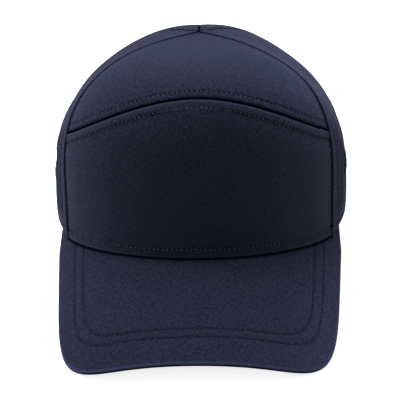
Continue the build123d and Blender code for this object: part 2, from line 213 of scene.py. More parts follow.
def cast(x, y, z, way, inset=0.0):
    """Where rays that start at places inside the crown, all the same way, meet it."""
    return hit(np.column_stack(np.broadcast_arrays(x, y, z)), way, inset)


def resample(curve, step):
    """The same curve with points at equal steps, its ends kept."""
    walked = walk(curve)
    count = max(2, int(round(walked[-1] / step)) + 1)
    return along_curve(curve, walked, np.linspace(0, walked[-1], count))


def nearest(points, curve):
    """The distance from each point to a curve, and how far along the curve that is."""
    start, step = curve[:-1], np.diff(curve, axis=0)
    length = np.linalg.norm(step, axis=1)
    walked = walk(curve)[:-1]
    best, along = np.zeros(len(points)), np.zeros(len(points))
    for low in range(0, len(points), 2000):
        offset = points[low:low + 2000, None, :] - start[None]
        share = np.clip((offset * step).sum(2) / length ** 2, 0, 1)
        gap = np.linalg.norm(offset - share[:, :, None] * step, axis=2)
        pick = gap.argmin(1)
        row = np.arange(len(pick))
        best[low:low + 2000] = gap[row, pick]
        along[low:low + 2000] = walked[pick] + share[row, pick] * length[pick]
    return best, along


def peak_height(x, y):
    """Height of the peak's upper face: sloped forwards, arched from side to side."""
    return PEAK_SLOPE * (y + FRONT_REACH) - PEAK_ARCH * x * x - PEAK_CURL * x**4


def rim_height(points):
    """The crown's lower edge: on the peak at the front, level at the sides, lower at the nape."""
    x, y = points[:, 0], points[:, 1]
    drop = REAR_RIM_DROP - SIDE_RIM_DROP
    rear = -SIDE_RIM_DROP - drop * np.clip(y / (REAR_REACH + 5), 0, 1) ** 2
    return rear + (peak_height(x, y) - rear) * rise(y, *PEAK_BLEND_Y)


def form(points):
    """Gentle unevenness of the much-used, sewn cover, and how its sides curl in at the rim."""
    x, y, z = points.T
    uneven = 0.35 * np.sin(x / 17 + 1.1) * np.sin(y / 21 + 0.4) + 0.3 * np.sin(z / 15 + x / 27)
    over_rim = np.clip((z - rim_height(points)) / CURL_HEIGHT, 0, 1)
    tuck = -CURL_DEPTH * (1 - over_rim) ** 2 * rise(np.abs(x), 82, 90) * rise(y, 70, 30)
    sag = -sum(depth * bell(np.hypot(x - at_x, z - at_z), 0, width) for at_x, at_z, width, depth in SAGS)
    return uneven * rise(z, 0, 25) + tuck + sag * rise(y, -62, -30)


# ---------------------------------------------------------------- seam curves

def upright_seam(way):
    """The seam in the upright plane from the apex, down to the rim."""
    lean = np.radians(np.linspace(0, SEAM_SWEEP, 500))
    ways = np.column_stack([way[0] * np.sin(lean), way[1] * np.sin(lean), np.cos(lean)])
    points = hit(APEX, ways)
    last = np.argmax(points[:, 2] < rim_height(points))
    return resample(points[:last + 1], EDGE_STEP)


def crown_at(turn, height):
    """Chart points in each direction round the cap, where the crown passes a height."""
    way = np.column_stack([np.cos(turn), np.sin(turn)]) * CHART_SCALE
    low, high = np.full(len(turn), 0.8), np.full(len(turn), 2.0)
    for _ in range(BISECTIONS):
        middle = (low + high) / 2
        points = crown_points(way * middle[:, None])
        above = points[:, 2] > height(points)
        low, high = np.where(above, middle, low), np.where(above, high, middle)
    return way * low[:, None]


def rim_edge(start, end):
    """The crown's lower edge, from one seam's foot to another's, the short way round."""
    turns = [np.arctan2(p[1], p[0]) for p in (start, end)]
    while turns[1] - turns[0] > np.pi:
        turns[1] -= 2 * np.pi
    while turns[1] - turns[0] < -np.pi:
        turns[1] += 2 * np.pi
    turn = np.linspace(*turns, 300)
    points = crown_points(crown_at(turn, rim_height))
    points[0], points[-1] = start, end
    return resample(points, EDGE_STEP)


def arch_edge():
    """The arched seam between the front panel and the top panel, from -x to +x."""
    slope = (FRONT_CORNER_Y - APEX[1]) / FRONT_SEAM_X
    x = np.linspace(0, 84, 1500)
    points = cast(x, 0, ARCH_TOP - ARCH_FALL * x * x, AHEAD)
    last = np.argmax(points[:, 1] > APEX[1] + slope * x)
    half = points[:last + 1]
    return resample(np.vstack([half[::-1] * (-1, 1, 1), half[1:]]), EDGE_STEP)


def split_at(curve, point):
    """The curve's two parts, cut at the place nearest to a point."""
    pick = np.linalg.norm(curve - point, axis=1).argmin()
    return np.vstack([curve[:pick], point]), np.vstack([point, curve[pick + 1:]])


def flipped(curve):
    """The same curve on the cap's other side."""
    return curve * (-1, 1, 1)


def nape_edge():
    """The right half of the half-moon's edge, from the rim up to the middle."""
    turn = np.linspace(-0.13, np.pi / 2, 300)
    x, z = NAPE_HALF_WIDTH * np.cos(turn), NAPE_HEIGHT * np.sin(turn)
    points = cast(x, NAPE_START_Y, z, BEHIND)
    first = np.argmax(points[:, 2] > rim_height(points))
    return resample(points[first:], EDGE_STEP)


def vent_outline(shrink):
    """The rounded vent, seen from the side: a small circle ahead and a large one behind, joined."""
    points = []
    (fy, fz, fr), (ry, rz, rr) = VENT_FRONT, VENT_REAR
    gap = np.hypot(ry - fy, rz - fz)
    heading = np.arctan2(rz - fz, ry - fy)
    lean = np.arccos((rr - fr) / gap)
    for (cy, cz, radius), low, high in [
        ((fy, fz, fr), heading + np.pi - lean, heading + np.pi + lean),
        ((ry, rz, rr), heading - (np.pi - lean), heading + (np.pi - lean)),
    ]:
        turn = np.linspace(low, high, 60)
        radius -= shrink
        points.append(np.column_stack([cy + radius * np.cos(turn), cz + radius * np.sin(turn)]))
    outline = np.vstack(points)
    return np.vstack([outline, outline[:1]])


def vent_edge(shrink=0.0):
    return resample(cast(0, *vent_outline(shrink).T, SIDEWAYS), EDGE_STEP)


FRONT_CORNER_Y = -FRONT_REACH * (1 - (FRONT_SEAM_X / HALF_WIDTH) ** PLAN_POWER) ** (1 / PLAN_POWER)
seam_way = np.array([FRONT_SEAM_X, FRONT_CORNER_Y - APEX[1]])
FRONT_SEAM = upright_seam(seam_way / np.linalg.norm(seam_way))
REAR_SEAM = upright_seam(np.array([1, 1]) / np.sqrt(2))
BACK_SEAM = upright_seam(np.array([0, 1]))
ARCH = arch_edge()
FRONT_SEAM_TOP, FRONT_SEAM_LOW = split_at(FRONT_SEAM, ARCH[-1])
BRIM = rim_edge(flipped(FRONT_SEAM[-1:])[0], FRONT_SEAM[-1])
SIDE_RIM = rim_edge(FRONT_SEAM[-1], REAR_SEAM[-1])
NAPE = nape_edge()
REAR_RIM = rim_edge(REAR_SEAM[-1], NAPE[0])
BACK_SEAM = split_at(BACK_SEAM, NAPE[-1])[0]
VENT = vent_edge()


# ---------------------------------------------------------------- mesh making

def within(points, loop):
    """Which flat points are inside a closed loop."""
    x, y = points.T
    inside = np.zeros(len(points), bool)
    for (ax, ay), (bx, by) in zip(loop, np.roll(loop, -1, axis=0)):
        if ay != by:
            crosses = ((ay > y) != (by > y)) & (x < (bx - ax) * (y - ay) / (by - ay) + ax)
            inside ^= crosses
    return inside


def filling(points, loops):
    """Which flat points are inside the first loop and outside the others."""
    keep = within(points, loops[0])
    for hole in loops[1:]:
        keep &= ~within(points, hole)
    return keep


def signed_area(loop):
    """Positive where a flat loop runs anticlockwise."""
    x, y = loop.T
    return (x * np.roll(y, -1) - np.roll(x, -1) * y).sum() / 2


def hexagonal(loop, step):
    """A grid of staggered rows over a loop's box."""
    low, high = loop.min(0), loop.max(0)
    rows = np.arange(low[1], high[1], step * 0.866)
    columns = np.arange(low[0], high[0], step)
    grid = [
        np.column_stack([columns + (i % 2) * step / 2, np.full(len(columns), y)])
        for i, y in enumerate(rows)
    ]
    return np.vstack(grid)


def triangulate(loops, fill):
    """Triangles that fill the first loop, less the others, through the fill points."""
    points, edges = [], []
    for loop in loops:
        first = len(points)
        points.extend(loop)
        edges.extend((first + i, first + (i + 1) % len(loop)) for i in range(len(loop)))
    points.extend(fill)
    found = delaunay_2d_cdt([Vector(p) for p in points], edges, [], 0, 1e-4)
    flat = np.array([tuple(p) for p in found[0]])
    faces = np.array([f for f in found[2] if len(f) == 3])
    faces = faces[filling(flat[faces].mean(1), loops)]
    a, b, c = (flat[faces[:, i]] for i in range(3))
    turned = np.cross(b - a, c - a) < 0
    faces[turned] = faces[turned][:, ::-1]
    used, faces = np.unique(faces, return_inverse=True)
    return flat[used], faces.reshape(-1, 3)


def border(faces):
    """The edges that only one face has, each in its face's direction."""
    pairs = np.vstack([faces[:, (0, 1)], faces[:, (1, 2)], faces[:, (2, 0)]])
    _, index, count = np.unique(np.sort(pairs, axis=1), axis=0, return_inverse=True, return_counts=True)
    return pairs[count[index.ravel()] == 1]


def thick(outer, inner, faces):
    """A closed mesh with an outer skin, an inner skin and a wall round every edge."""
    count = len(outer)
    rim = border(faces)
    made = [tuple(f) for f in faces]
    made += [tuple(f[::-1] + count) for f in faces]
    made += [(b, a, a + count, b + count) for a, b in rim]
    return np.vstack([outer, inner]), made


def tube_faces(rings, around):
    """Faces of a closed tube through rings of points, with flat ends."""
    faces = [tuple(range(around)), tuple(reversed(range((rings - 1) * around, rings * around)))]
    for i in range(rings - 1):
        for k in range(around):
            a, b = i * around + k, i * around + (k + 1) % around
            faces.append((a, a + around, b + around, b))
    return faces


def beside(curve, distance, closed=False):
    """The curve moved over the crown to its left, as seen from outside."""
    chart = chart_of(curve)
    normal = crown_normals(chart)
    if closed:
        tangent = np.roll(curve, -1, axis=0) - np.roll(curve, 1, axis=0)
    else:
        tangent = np.gradient(curve, axis=0)
    return crown_points(chart_of(curve + unit(np.cross(normal, tangent)) * distance))


def closest(points, curves):
    return np.min([nearest(points, curve)[0] for curve in curves], axis=0)


def make_object(name, points, faces, material, body, replaces=(), cloth=None, shade=None, sharp=50):
    """A mesh in the model's frame that rides on a body and stands for CAD nodes.

    Its place on the cloth, and its shade, may be given for one of two equal skins."""
    mesh = bpy.data.meshes.new(name)
    mesh.from_pydata(placed(points).tolist(), [], [tuple(int(i) for i in f) for f in faces])
    mesh.validate()
    cloth = points if cloth is None else np.tile(cloth, (len(points) // len(cloth), 1))
    cloth = np.column_stack([cloth, np.zeros((len(cloth), 3 - cloth.shape[1]))])
    shade = np.zeros(len(points)) if shade is None else np.tile(shade, len(points) // len(shade))
    for held, kind, key, values in (
        ("cloth", "FLOAT_VECTOR", "vector", cloth), ("shade", "FLOAT", "value", shade),
    ):
        data = mesh.attributes.new(held, kind, "POINT").data
        data.foreach_set(key, values.astype(np.float32).ravel())
    mesh.shade_smooth()
    if sharp:
        mesh.set_sharp_from_angle(angle=np.radians(sharp))
    mesh.materials.append(material)
    piece = bpy.data.objects.new(name, mesh)
    bpy.context.scene.collection.objects.link(piece)
    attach(piece, body)
    if replaces:
        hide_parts(*replaces)
    return piece


class Panel:
    """One piece of fabric on the crown, between seams."""

    def __init__(self, edges, holes=(), step=FILL_STEP):
        self.loops = [np.vstack([edge[:-1] for edge in edges])]
        if signed_area(chart_of(self.loops[0])) < 0:
            edges = [edge[::-1] for edge in edges[::-1]]
            self.loops = [np.vstack([edge[:-1] for edge in edges])]
        for hole in holes:
            turned = signed_area(chart_of(hole[:-1])) > 0
            self.loops.append(hole[:-1][::-1] if turned else hole[:-1])
        self.bounds = [np.vstack([loop, loop[:1]]) for loop in self.loops]
        self.fill(step)
        self.seams = []

    def fill(self, step):
        flat = [chart_of(loop) for loop in self.loops]
        fill = []
        for distance in RAILS:
            for loop in self.loops:
                row = beside(loop, distance, closed=True)
                fill.append(row[closest(row, self.bounds) > distance - 0.06])
        grid = hexagonal(flat[0], step)
        grid = crown_points(grid[within(grid, flat[0])])
        fill.append(grid[closest(grid, self.bounds) > RAILS[-1] + 0.7])
        fill = chart_of(np.vstack(fill))
        self.chart, self.faces = triangulate(flat, fill[filling(fill, flat)])
        self.base = crown_points(self.chart)
        self.normal = crown_normals(self.chart)

    def seam(self, curve, welt=0.0, rows=(), depth=GROOVE_DEPTH):
        self.seams.append((curve, welt, rows, depth))

    def detail(self, points):
        """How far the outer face stands over the plain crown, and its shade: painted shade in the seam
        grooves and along the stitch rows, painted highlight along the welts.
        """
        height = PILLOW * (1 - np.exp(-closest(points, self.bounds) / PILLOW_REACH))
        shade = np.zeros(len(points))
        groove = np.zeros(len(points))
        seam_painted_shade = np.zeros(len(points))
        for curve, welt, rows, depth in self.seams:
            distance, along = nearest(points, curve)
            groove = np.maximum(groove, depth * bell(distance, 0, GROOVE_WIDTH))
            # Painted shade in the seam's groove.
            seam_painted_shade = np.maximum(seam_painted_shade, bell(distance, 0, 1.0))
            if welt:
                height += WELT_HEIGHT * rise(distance, 0.3, 1.5) * rise(distance, welt + 0.7, welt - 0.5)
                # Painted highlight along the welt's crest.
                shade += 0.35 * bell(distance, 1.7, 0.8)
            for row in rows:
                height -= STITCH_DIP * bell(distance, row, 0.6)
                # Painted shade along the stitch row.
                shade -= 0.6 * bell(distance, row, 0.5)
            middle = rows[0] if rows else 2.5
            wave = np.sin(along * 2 * np.pi / PUCKER_PITCH + 1.9 * np.sin(along / 11))
            height += PUCKER * wave * bell(distance, middle, 2.8)
        near_apex = rise(np.hypot(points[:, 0] - APEX[0], points[:, 1] - APEX[1]), 0, 16)
        return height - groove * (0.15 + 0.85 * near_apex), shade - seam_painted_shade

    def outside(self, points):
        """Points and normals on the outer face, over points of the plain crown."""
        normal = crown_normals(chart_of(points))
        lift = form(points) + self.extra(points) + self.detail(points)[0]
        return points + normal * lift[:, None], normal

    def extra(self, points):
        return np.zeros(len(points))

    def build(self, node):
        """The fabric that stands for a node, with a thin slit along every edge."""
        base, normal = self.base.copy(), self.normal
        for low, high in border(self.faces):
            along = base[high] - base[low]
            side = np.cross(normal[low], along)
            side /= max(np.linalg.norm(side), 1e-9)
            base[low] += side * SLIT / 2
            base[high] += side * SLIT / 2
        height, shade = self.detail(self.base)
        swell = form(self.base) + self.extra(self.base)
        outer = base + normal * (swell + height)[:, None]
        inner = base + normal * (swell - FABRIC + 0.05)[:, None]
        points, faces = thick(outer, inner, self.faces)
        name = node + "_fabric"
        make_object(name, points, faces, twill, "cover", [node], self.chart, shade)

    def row(self, curve, distance, clear):
        """Stitch rows beside a seam: runs of points at a distance, clear of other edges."""
        side = beside(curve, distance)
        if not within(chart_of(side), chart_of(self.loops[0]))[len(side) // 2]:
            side = beside(curve[::-1], distance)
        keep = within(chart_of(side), chart_of(self.loops[0]))
        for other, gap in clear:
            keep &= nearest(side, other)[0] > gap
        cuts = np.flatnonzero(np.diff(keep)) + 1
        runs = [run for run, good in zip(np.split(side, cuts), np.split(keep, cuts)) if good[0]]
        return [self.outside(resample(run, 1.0)) for run in runs if len(run) > 3]


def stitches(name, rows, material, body="cover", glint=0.5):
    """Rows of short raised threads whose ends dive into needle holes, with painted shade at their ends and
    the glint in their middles: a painted highlight when positive, painted shade when negative.
    """
    radius = STITCH_RADIUS
    stations = np.array([-1, -0.7, 0, 0.7, 1])
    girth = np.array([0.45, 0.95, 1.0, 0.95, 0.45])
    bulge = np.array([-0.9, 0.1, 0.35, 0.1, -0.9])
    # Painted shade at each stitch's ends, the glint as painted highlight in its middle.
    shades = np.array([-1.0, glint - 0.7, glint, glint - 0.7, -1.0])
    ring = np.radians(np.arange(0, 360, 60))
    one = tube_faces(len(stations), len(ring))
    points, faces, shade = [], [], []
    for path, normals in rows:
        walked = walk(path)
        for i in range(int(walked[-1] // STITCH_PITCH)):
            middle = (i + 0.5) * STITCH_PITCH + random.uniform(-0.08, 0.08)
            half = STITCH_LENGTH / 2 * random.uniform(0.93, 1.05)
            at = middle + stations * half
            line = along_curve(path, walked, at)
            up = along_curve(normals, walked, [middle])[0]
            along = line[-1] - line[0]
            along /= np.linalg.norm(along)
            side = np.cross(up, along)
            line = line + up * (bulge * radius)[:, None] + side * random.uniform(-0.08, 0.08)
            first = len(points)
            for centre, size, tone in zip(line, girth * radius, shades):
                for angle in ring:
                    points.append(centre + side * np.cos(angle) * size + up * np.sin(angle) * size)
                    shade.append(tone)
            faces += [tuple(first + i for i in face) for face in one]
    return make_object(
        name, np.array(points), faces, material, body, shade=np.array(shade), sharp=0
    )


# ---------------------------------------------------------------- materials

class Shader:
    """A material and short ways to add nodes to it."""

    def __init__(self, name):
        self.material = bpy.data.materials.new(name)
        self.material.use_nodes = True
        self.tree = self.material.node_tree
        self.tree.nodes.clear()

    def add(self, kind, inputs=None, **settings):
        node = self.tree.nodes.new(kind)
        for key, value in settings.items():
            setattr(node, key, value)
        for key, value in (inputs or {}).items():
            if isinstance(value, bpy.types.NodeSocket):
                self.tree.links.new(value, node.inputs[key])
            else:
                node.inputs[key].default_value = value
        return node

    def noise(self, place, scale, detail, **more):
        inputs = {"Vector": place, "Scale": scale, "Detail": detail, **more}
        return self.add("ShaderNodeTexNoise", inputs).outputs["Fac"]

    def maths(self, operation, a, b=0.0):
        return self.add("ShaderNodeMath", {0: a, 1: b}, operation=operation).outputs[0]

    def mixed(self, share, a, b):
        node = self.add("ShaderNodeMix", {0: share, 6: a, 7: b}, data_type="RGBA")
        return node.outputs[2]

    def spread(self, value, low, high, out_low=0.0, out_high=1.0):
        inputs = {0: value, 1: low, 2: high, 3: out_low, 4: out_high}
        return self.add("ShaderNodeMapRange", inputs).outputs[0]

    def finish(self, **inputs):
        names = {key.replace("_", " ").title(): value for key, value in inputs.items()}
        names = {key.replace("Ior", "IOR"): value for key, value in names.items()}
        surface = self.add("ShaderNodeBsdfPrincipled", names)
        self.add("ShaderNodeOutputMaterial", {"Surface": surface.outputs[0]})
        return self.material


def colour(red, green, blue):
    return (red, green, blue, 1.0)


SHEEN = 0.15
HEATHER = 0.95
# How much the faded tone is lightened for painted highlight and wear.
WEAR_AND_HIGHLIGHT_LIGHTENING = 2.6


def fabric(name, dyed, faded, wale=0.55, depth=0.00012, kind="DIAGONAL", pile=0.0):
    """Woven cloth: wales or ribs, loose fibres and uneven dye, with painted shade in seams, grooves and
    stitch holes, and painted highlight with a wear-like break-up on welts, edges and stitches.
    """
    shader = Shader(name)
    place = shader.add("ShaderNodeAttribute", attribute_name="cloth").outputs["Vector"]
    shade = shader.add("ShaderNodeAttribute", attribute_name="shade").outputs["Fac"]
    inputs = {"Vector": place, "Scale": 0.628 / wale, "Distortion": 1.2, "Detail": 2.0, "Detail Scale": 1.4}
    wave = shader.add("ShaderNodeTexWave", inputs, bands_direction=kind).outputs["Fac"]
    fibre = shader.noise(place, 2.4, 3.0)
    blotch = shader.noise(place, 0.05, 3.0)
    slubs = []
    for stretch in ((0.5, 1.9, 1.0), (1.9, 0.5, 1.0)):
        stretched = shader.add("ShaderNodeMapping", {"Vector": place, "Scale": stretch}).outputs[0]
        slubs.append(shader.noise(stretched, 0.85, 2.5, Roughness=0.6))
    yarn = shader.maths("MULTIPLY", shader.maths("ADD", *slubs), 0.5)
    ribs = shader.maths("MULTIPLY", wave, 1 - pile)
    height = shader.maths("ADD", ribs, shader.maths("MULTIPLY", fibre, 0.7 + pile))
    bump = shader.add("ShaderNodeBump", {"Height": height, "Distance": depth, "Strength": 1.0})
    # Where the shade attribute is positive the cloth is lightened: painted highlight on welts, on the peak's
    # rolled edge and on the stitches' middles, broken up by the fibre noise like wear.
    wear_and_highlight_share = shader.spread(shader.maths("ADD", shade, shader.maths("MULTIPLY", fibre, 0.35)), 0.15, 1.3)
    heathered = shader.spread(yarn, 0.43, 0.58, 0.0, HEATHER)
    uneven = shader.maths("ADD", shader.spread(blotch, 0.35, 0.7, 0.0, 0.1), heathered)
    dyeing = shader.mixed(uneven, dyed, faded)
    threads = shader.mixed(shader.spread(wave, 0.1, 0.9, 0.4, 0.0), dyeing, colour(0, 0, 0))
    wear_and_highlight_tone = colour(*[WEAR_AND_HIGHLIGHT_LIGHTENING * share for share in faded[:3]])
    cloth_with_wear_and_highlight = shader.mixed(wear_and_highlight_share, threads, wear_and_highlight_tone)
    # Where the shade attribute is negative the cloth is darkened towards near black: painted shade in seams,
    # grooves, stitch holes and along edges.
    dark = shader.spread(shade, -0.9, 0.0, 0.75, 0.0)
    base = shader.mixed(dark, cloth_with_wear_and_highlight, colour(0.001, 0.001, 0.002))
    # Sheen and specular are kept only outside the painted shade.
    lit = shader.spread(shade, -0.8, 0.0, 0.0, 1.0)
    gleam = shader.maths("MULTIPLY", lit, shader.spread(yarn, 0.42, 0.58, SHEEN * 0.72, SHEEN * 1.22))
    return shader.finish(
        base_color=base,
        roughness=shader.spread(fibre, 0.3, 0.7, 0.84, 0.98),
        normal=bump.outputs[0],
        sheen_weight=gleam,
        sheen_roughness=0.45,
        sheen_tint=colour(0.45, 0.5, 1.0),
        specular_ior_level=shader.maths("MULTIPLY", lit, 0.12),
    )


GRAIN_DEPTH = 0.00003


def plastic(name, tone, rough):
    """Moulded plastic with a fine spark-eroded grain and faint scuffs."""
    shader = Shader(name)
    place = shader.add("ShaderNodeTexCoord").outputs["Object"]
    grainy = shader.noise(place, 900.0, 2.0)
    scuff = shader.noise(place, 60.0, 6.0)
    bump = shader.add("ShaderNodeBump", {"Height": grainy, "Distance": GRAIN_DEPTH, "Strength": 0.6})
    lighter = colour(*[min(1.0, c * 1.7 + 0.01) for c in tone[:3]])
    return shader.finish(
        base_color=shader.mixed(shader.spread(scuff, 0.55, 0.75, 0.0, 0.35), tone, lighter),
        roughness=shader.spread(scuff, 0.3, 0.7, rough - 0.07, rough + 0.1),
        normal=bump.outputs[0],
    )


NAVY = colour(0.0026, 0.0031, 0.0098)
FADED_NAVY = colour(0.0168, 0.0186, 0.0445)
twill = fabric("navy_twill", NAVY, FADED_NAVY)
thread = fabric("navy_thread", colour(0.014, 0.015, 0.030), colour(0.06, 0.063, 0.095), 0.3, 0.00003)
mesh_knit = fabric("navy_mesh", colour(0.009, 0.010, 0.020), FADED_NAVY, 0.4, 0.00006)
tape = fabric("navy_tape", colour(0.007, 0.008, 0.017), colour(0.022, 0.025, 0.046), 0.8, kind="X")
webbing = fabric(
    "navy_webbing", colour(0.008, 0.009, 0.019), colour(0.026, 0.029, 0.052), 1.1, 0.0002, kind="X"
)
lining = fabric("black_lining", colour(0.008, 0.008, 0.011), colour(0.02, 0.02, 0.026), 0.4, pile=0.6)
hooks = fabric("hook_and_loop", colour(0.005, 0.005, 0.007), colour(0.02, 0.02, 0.025), 0.7, 0.0004, pile=0.8)
foam = fabric("charcoal_foam", colour(0.010, 0.010, 0.012), colour(0.03, 0.03, 0.034), 0.5, 0.0001, pile=0.9)
towelling = fabric(
    "navy_towelling", colour(0.013, 0.015, 0.032), colour(0.035, 0.038, 0.068), 1.2, 0.0005, pile=0.9
)
shell_plastic = plastic("black_abs", colour(0.009, 0.009, 0.010), 0.38)
buckle_plastic = plastic("black_acetal", colour(0.007, 0.007, 0.008), 0.32)
board_plastic = plastic("natural_polyethylene", colour(0.7, 0.7, 0.67), 0.5)


# ---------------------------------------------------------------- crown panels

ARCH_ROW_ABOVE = 4.7
ARCH_ROW_BELOW = 6.0
SIDE_ROW = 3.2
FELL_ROW = 5.6
BRIM_ROW = 6.0
VENT_ROW = 2.6


def front_panel():
    left = flipped(FRONT_SEAM_LOW)
    panel = Panel([ARCH, FRONT_SEAM_LOW, BRIM[::-1], left[::-1]])
    panel.seam(ARCH, welt=ARCH_ROW_BELOW, rows=(ARCH_ROW_BELOW,))
    panel.seam(FRONT_SEAM_LOW, rows=(SIDE_ROW,))
    panel.seam(left, rows=(SIDE_ROW,))
    panel.seam(BRIM, welt=BRIM_ROW, rows=(BRIM_ROW,), depth=0.8)
    panel.build("front_panel")
    sides = [(FRONT_SEAM_LOW, SIDE_ROW), (left, SIDE_ROW)]
    rows = panel.row(ARCH, ARCH_ROW_BELOW, sides) + panel.row(BRIM, BRIM_ROW, sides)
    for side, _ in sides:
        rows += panel.row(side, SIDE_ROW, [(ARCH, ARCH_ROW_BELOW), (BRIM, 1.0)])
    return rows


def top_panel():
    right, left = FRONT_SEAM_TOP, flipped(FRONT_SEAM_TOP)
    panel = Panel([ARCH, right[::-1], left])
    panel.seam(ARCH, rows=(ARCH_ROW_ABOVE,))
    panel.seam(right, rows=(SIDE_ROW,))
    panel.seam(left, rows=(SIDE_ROW,))
    panel.build("top_panel")
    rows = panel.row(ARCH, ARCH_ROW_ABOVE, [(right, SIDE_ROW), (left, SIDE_ROW)])
    rows += panel.row(right, SIDE_ROW, [(ARCH, 1.0), (left, SIDE_ROW)])
    rows += panel.row(left, SIDE_ROW, [(ARCH, 1.0), (right, SIDE_ROW)])
    return rows


def side_panel(name, mirror):
    seam, rear, rim, vent = mirror(FRONT_SEAM), mirror(REAR_SEAM), mirror(SIDE_RIM), mirror(VENT)
    panel = SidePanel([seam, rim, rear[::-1]], holes=[vent])
    panel.seam(seam, welt=FELL_ROW, rows=(FELL_ROW,))
    panel.seam(rear, rows=(SIDE_ROW,))
    panel.seam(rim, rows=(BRIM_ROW,), depth=0.7)
    panel.seam(vent, welt=3.0, rows=(VENT_ROW,), depth=0.7)
    panel.build("side_panel_" + name)
    rows = panel.row(seam, FELL_ROW, [(rim, 1.0), (rear, SIDE_ROW)])
    rows += panel.row(rear, SIDE_ROW, [(rim, 1.0), (seam, FELL_ROW)])
    rows += panel.row(rim, BRIM_ROW, [(seam, FELL_ROW), (rear, SIDE_ROW)])
    rows += panel.row(vent, VENT_ROW, [])
    return rows


def rear_panel(name, mirror):
    rear, nape, rim, back = mirror(REAR_SEAM), mirror(NAPE), mirror(REAR_RIM), mirror(BACK_SEAM)
    panel = Panel([rear, rim, nape, back[::-1]])
    panel.seam(rear, rows=(SIDE_ROW,))
    panel.seam(back, rows=(SIDE_ROW,), depth=0.5)
    panel.seam(rim, rows=(BRIM_ROW,), depth=0.7)
    panel.seam(nape, depth=0.4)
    panel.build("rear_panel_" + name)
    rows = panel.row(rear, SIDE_ROW, [(rim, 1.0), (back, SIDE_ROW)])
    rows += panel.row(back, SIDE_ROW, [(rear, SIDE_ROW), (nape, 6.0)])
    rows += panel.row(rim, BRIM_ROW, [(rear, SIDE_ROW), (nape, 6.0)])
    return rows


def crown_panels():
    """The six fabric panels and their stitch rows."""
    rows = front_panel() + top_panel()
    for name, mirror in (("right", lambda curve: curve), ("left", flipped)):
        rows += side_panel(name, mirror) + rear_panel(name, mirror)
    stitches("crown_stitches", rows, thread)


SIDE_FOLDS = ((1.1, 10.5, 2.2), (-1.0, 15, 3.0), (0.8, 20, 3.2), (-0.5, 26, 4.0))


class SidePanel(Panel):
    """A side panel, whose cloth falls in soft upright folds behind the front seam."""

    def extra(self, points):
        curve = FRONT_SEAM if points[:, 0].mean() > 0 else flipped(FRONT_SEAM)
        distance = nearest(points, curve)[0]
        z = points[:, 2]
        shift = 1.5 * np.sin(z / 14)
        fold = sum(depth * bell(distance, place + shift, width) for depth, place, width in SIDE_FOLDS)
        return fold * rise(z, 3, 14) * rise(z, 74, 52)


# ---------------------------------------------------------------- peak

def outline(half_width, length, power, points=240):
    """The peak from above: straight sides, then round corners and a nearly straight front."""
    turn = np.linspace(0, np.pi, points)
    wide = (np.abs(np.cos(turn)) / half_width) ** power
    radius = (wide + (np.sin(turn) / length) ** power) ** (-1 / power)
    y = PEAK_START_Y - radius * np.sin(turn)
    x = radius * np.cos(turn) * (1 + PEAK_TAPER * (y - PEAK_TAPER_Y))
    first, last = (x[0], PEAK_BACK_Y), (x[-1], PEAK_BACK_Y)
    return np.vstack([first, np.column_stack([x, y]), last])


def on_peak(flat):
    return np.column_stack([flat, peak_height(*flat.T)])


def peak_normals(flat):
    x = flat[:, 0]
    fall = 2 * PEAK_ARCH * x + 4 * PEAK_CURL * x**3
    normal = np.column_stack([fall, np.full(len(x), -PEAK_SLOPE), np.ones(len(x))])
    return unit(normal)


def right_of(curve):
    """The level way to the right of each point of a flat curve."""
    tangent = unit(np.gradient(curve, axis=0))
    return np.column_stack([tangent[:, 1], -tangent[:, 0]])


def peak_edge_facts(flat, edge):
    """Distance of each flat point from the peak's edge, and the way out to that edge."""
    best = np.full(len(flat), 1e9)
    out = np.zeros((len(flat), 2))
    for start, end in zip(edge[:-1], edge[1:]):
        step = end - start
        share = np.clip(((flat - start) @ step) / (step @ step), 0, 1)
        gap = np.linalg.norm(flat - start - share[:, None] * step, axis=1)
        closer = gap < best
        best[closer] = gap[closer]
        out[closer] = np.array([-step[1], step[0]]) / np.linalg.norm(step)
    return best, out


STITCH_PATHS = ((78.9, 91.2), (73.1, 86.0))
PATH_POWER = 7.7


def stitch_path(half_width, length):
    """One row of the peak's stitches, from the crown round the front and back to the crown."""
    path = outline(half_width, length, PATH_POWER, 400)
    lifted = on_peak(path)
    offset = lifted - CENTRE
    size = np.linalg.norm(offset, axis=1)
    beyond = size > crown_radius(offset / size[:, None], 0.0) + 0.5
    return resample(lifted[beyond], 1.0)


PEAK_FILL_STEP = 2.6
PEAK_RAILS = (0.12, 0.35, 0.7, 1.15, 1.6, 2.2, 3.2, 4.6)
ROW_RAILS = (-1.5, -0.7, 0.0, 0.7, 1.5)


def peak_mesh(paths):
    """The peak laid flat: points, faces and edge, denser along its edge, stitches and brim."""
    edge = outline(PEAK_HALF_WIDTH, PEAK_LENGTH, PEAK_POWER)
    edge = resample(edge, EDGE_STEP)
    plan = crown_plan(PEAK_TUCK)
    beyond = ~within(edge, plan)
    first, last = np.argmax(beyond), len(edge) - np.argmax(beyond[::-1])
    front = edge[first:last]
    tucked = tucked_line(front[-1], front[0], plan)
    loop = np.vstack([front, tucked[1:-1]])
    ring = []
    for distance in PEAK_RAILS:
        row = edge + right_of(edge) * distance
        ring.append(row[within(row, loop)])
    grid = hexagonal(loop, PEAK_FILL_STEP)
    grid = grid[within(grid, loop)]
    distance, _ = peak_edge_facts(grid, edge)
    grid = grid[distance > 5.6]
    for path in [*paths, BRIM]:
        flat_path = resample(path[:, :2], EDGE_STEP)
        ring += [flat_path + right_of(flat_path) * gap for gap in ROW_RAILS]
        grid = grid[nearest(grid, flat_path)[0] > 2.3]
    fill = np.vstack(ring + [grid])
    fill = fill[within(fill, loop)]
    fill = fill[nearest(fill, tucked)[0] > 0.6]
    if signed_area(loop) < 0:
        loop = loop[::-1]
    flat, faces = triangulate([loop], fill)
    return flat, faces, edge


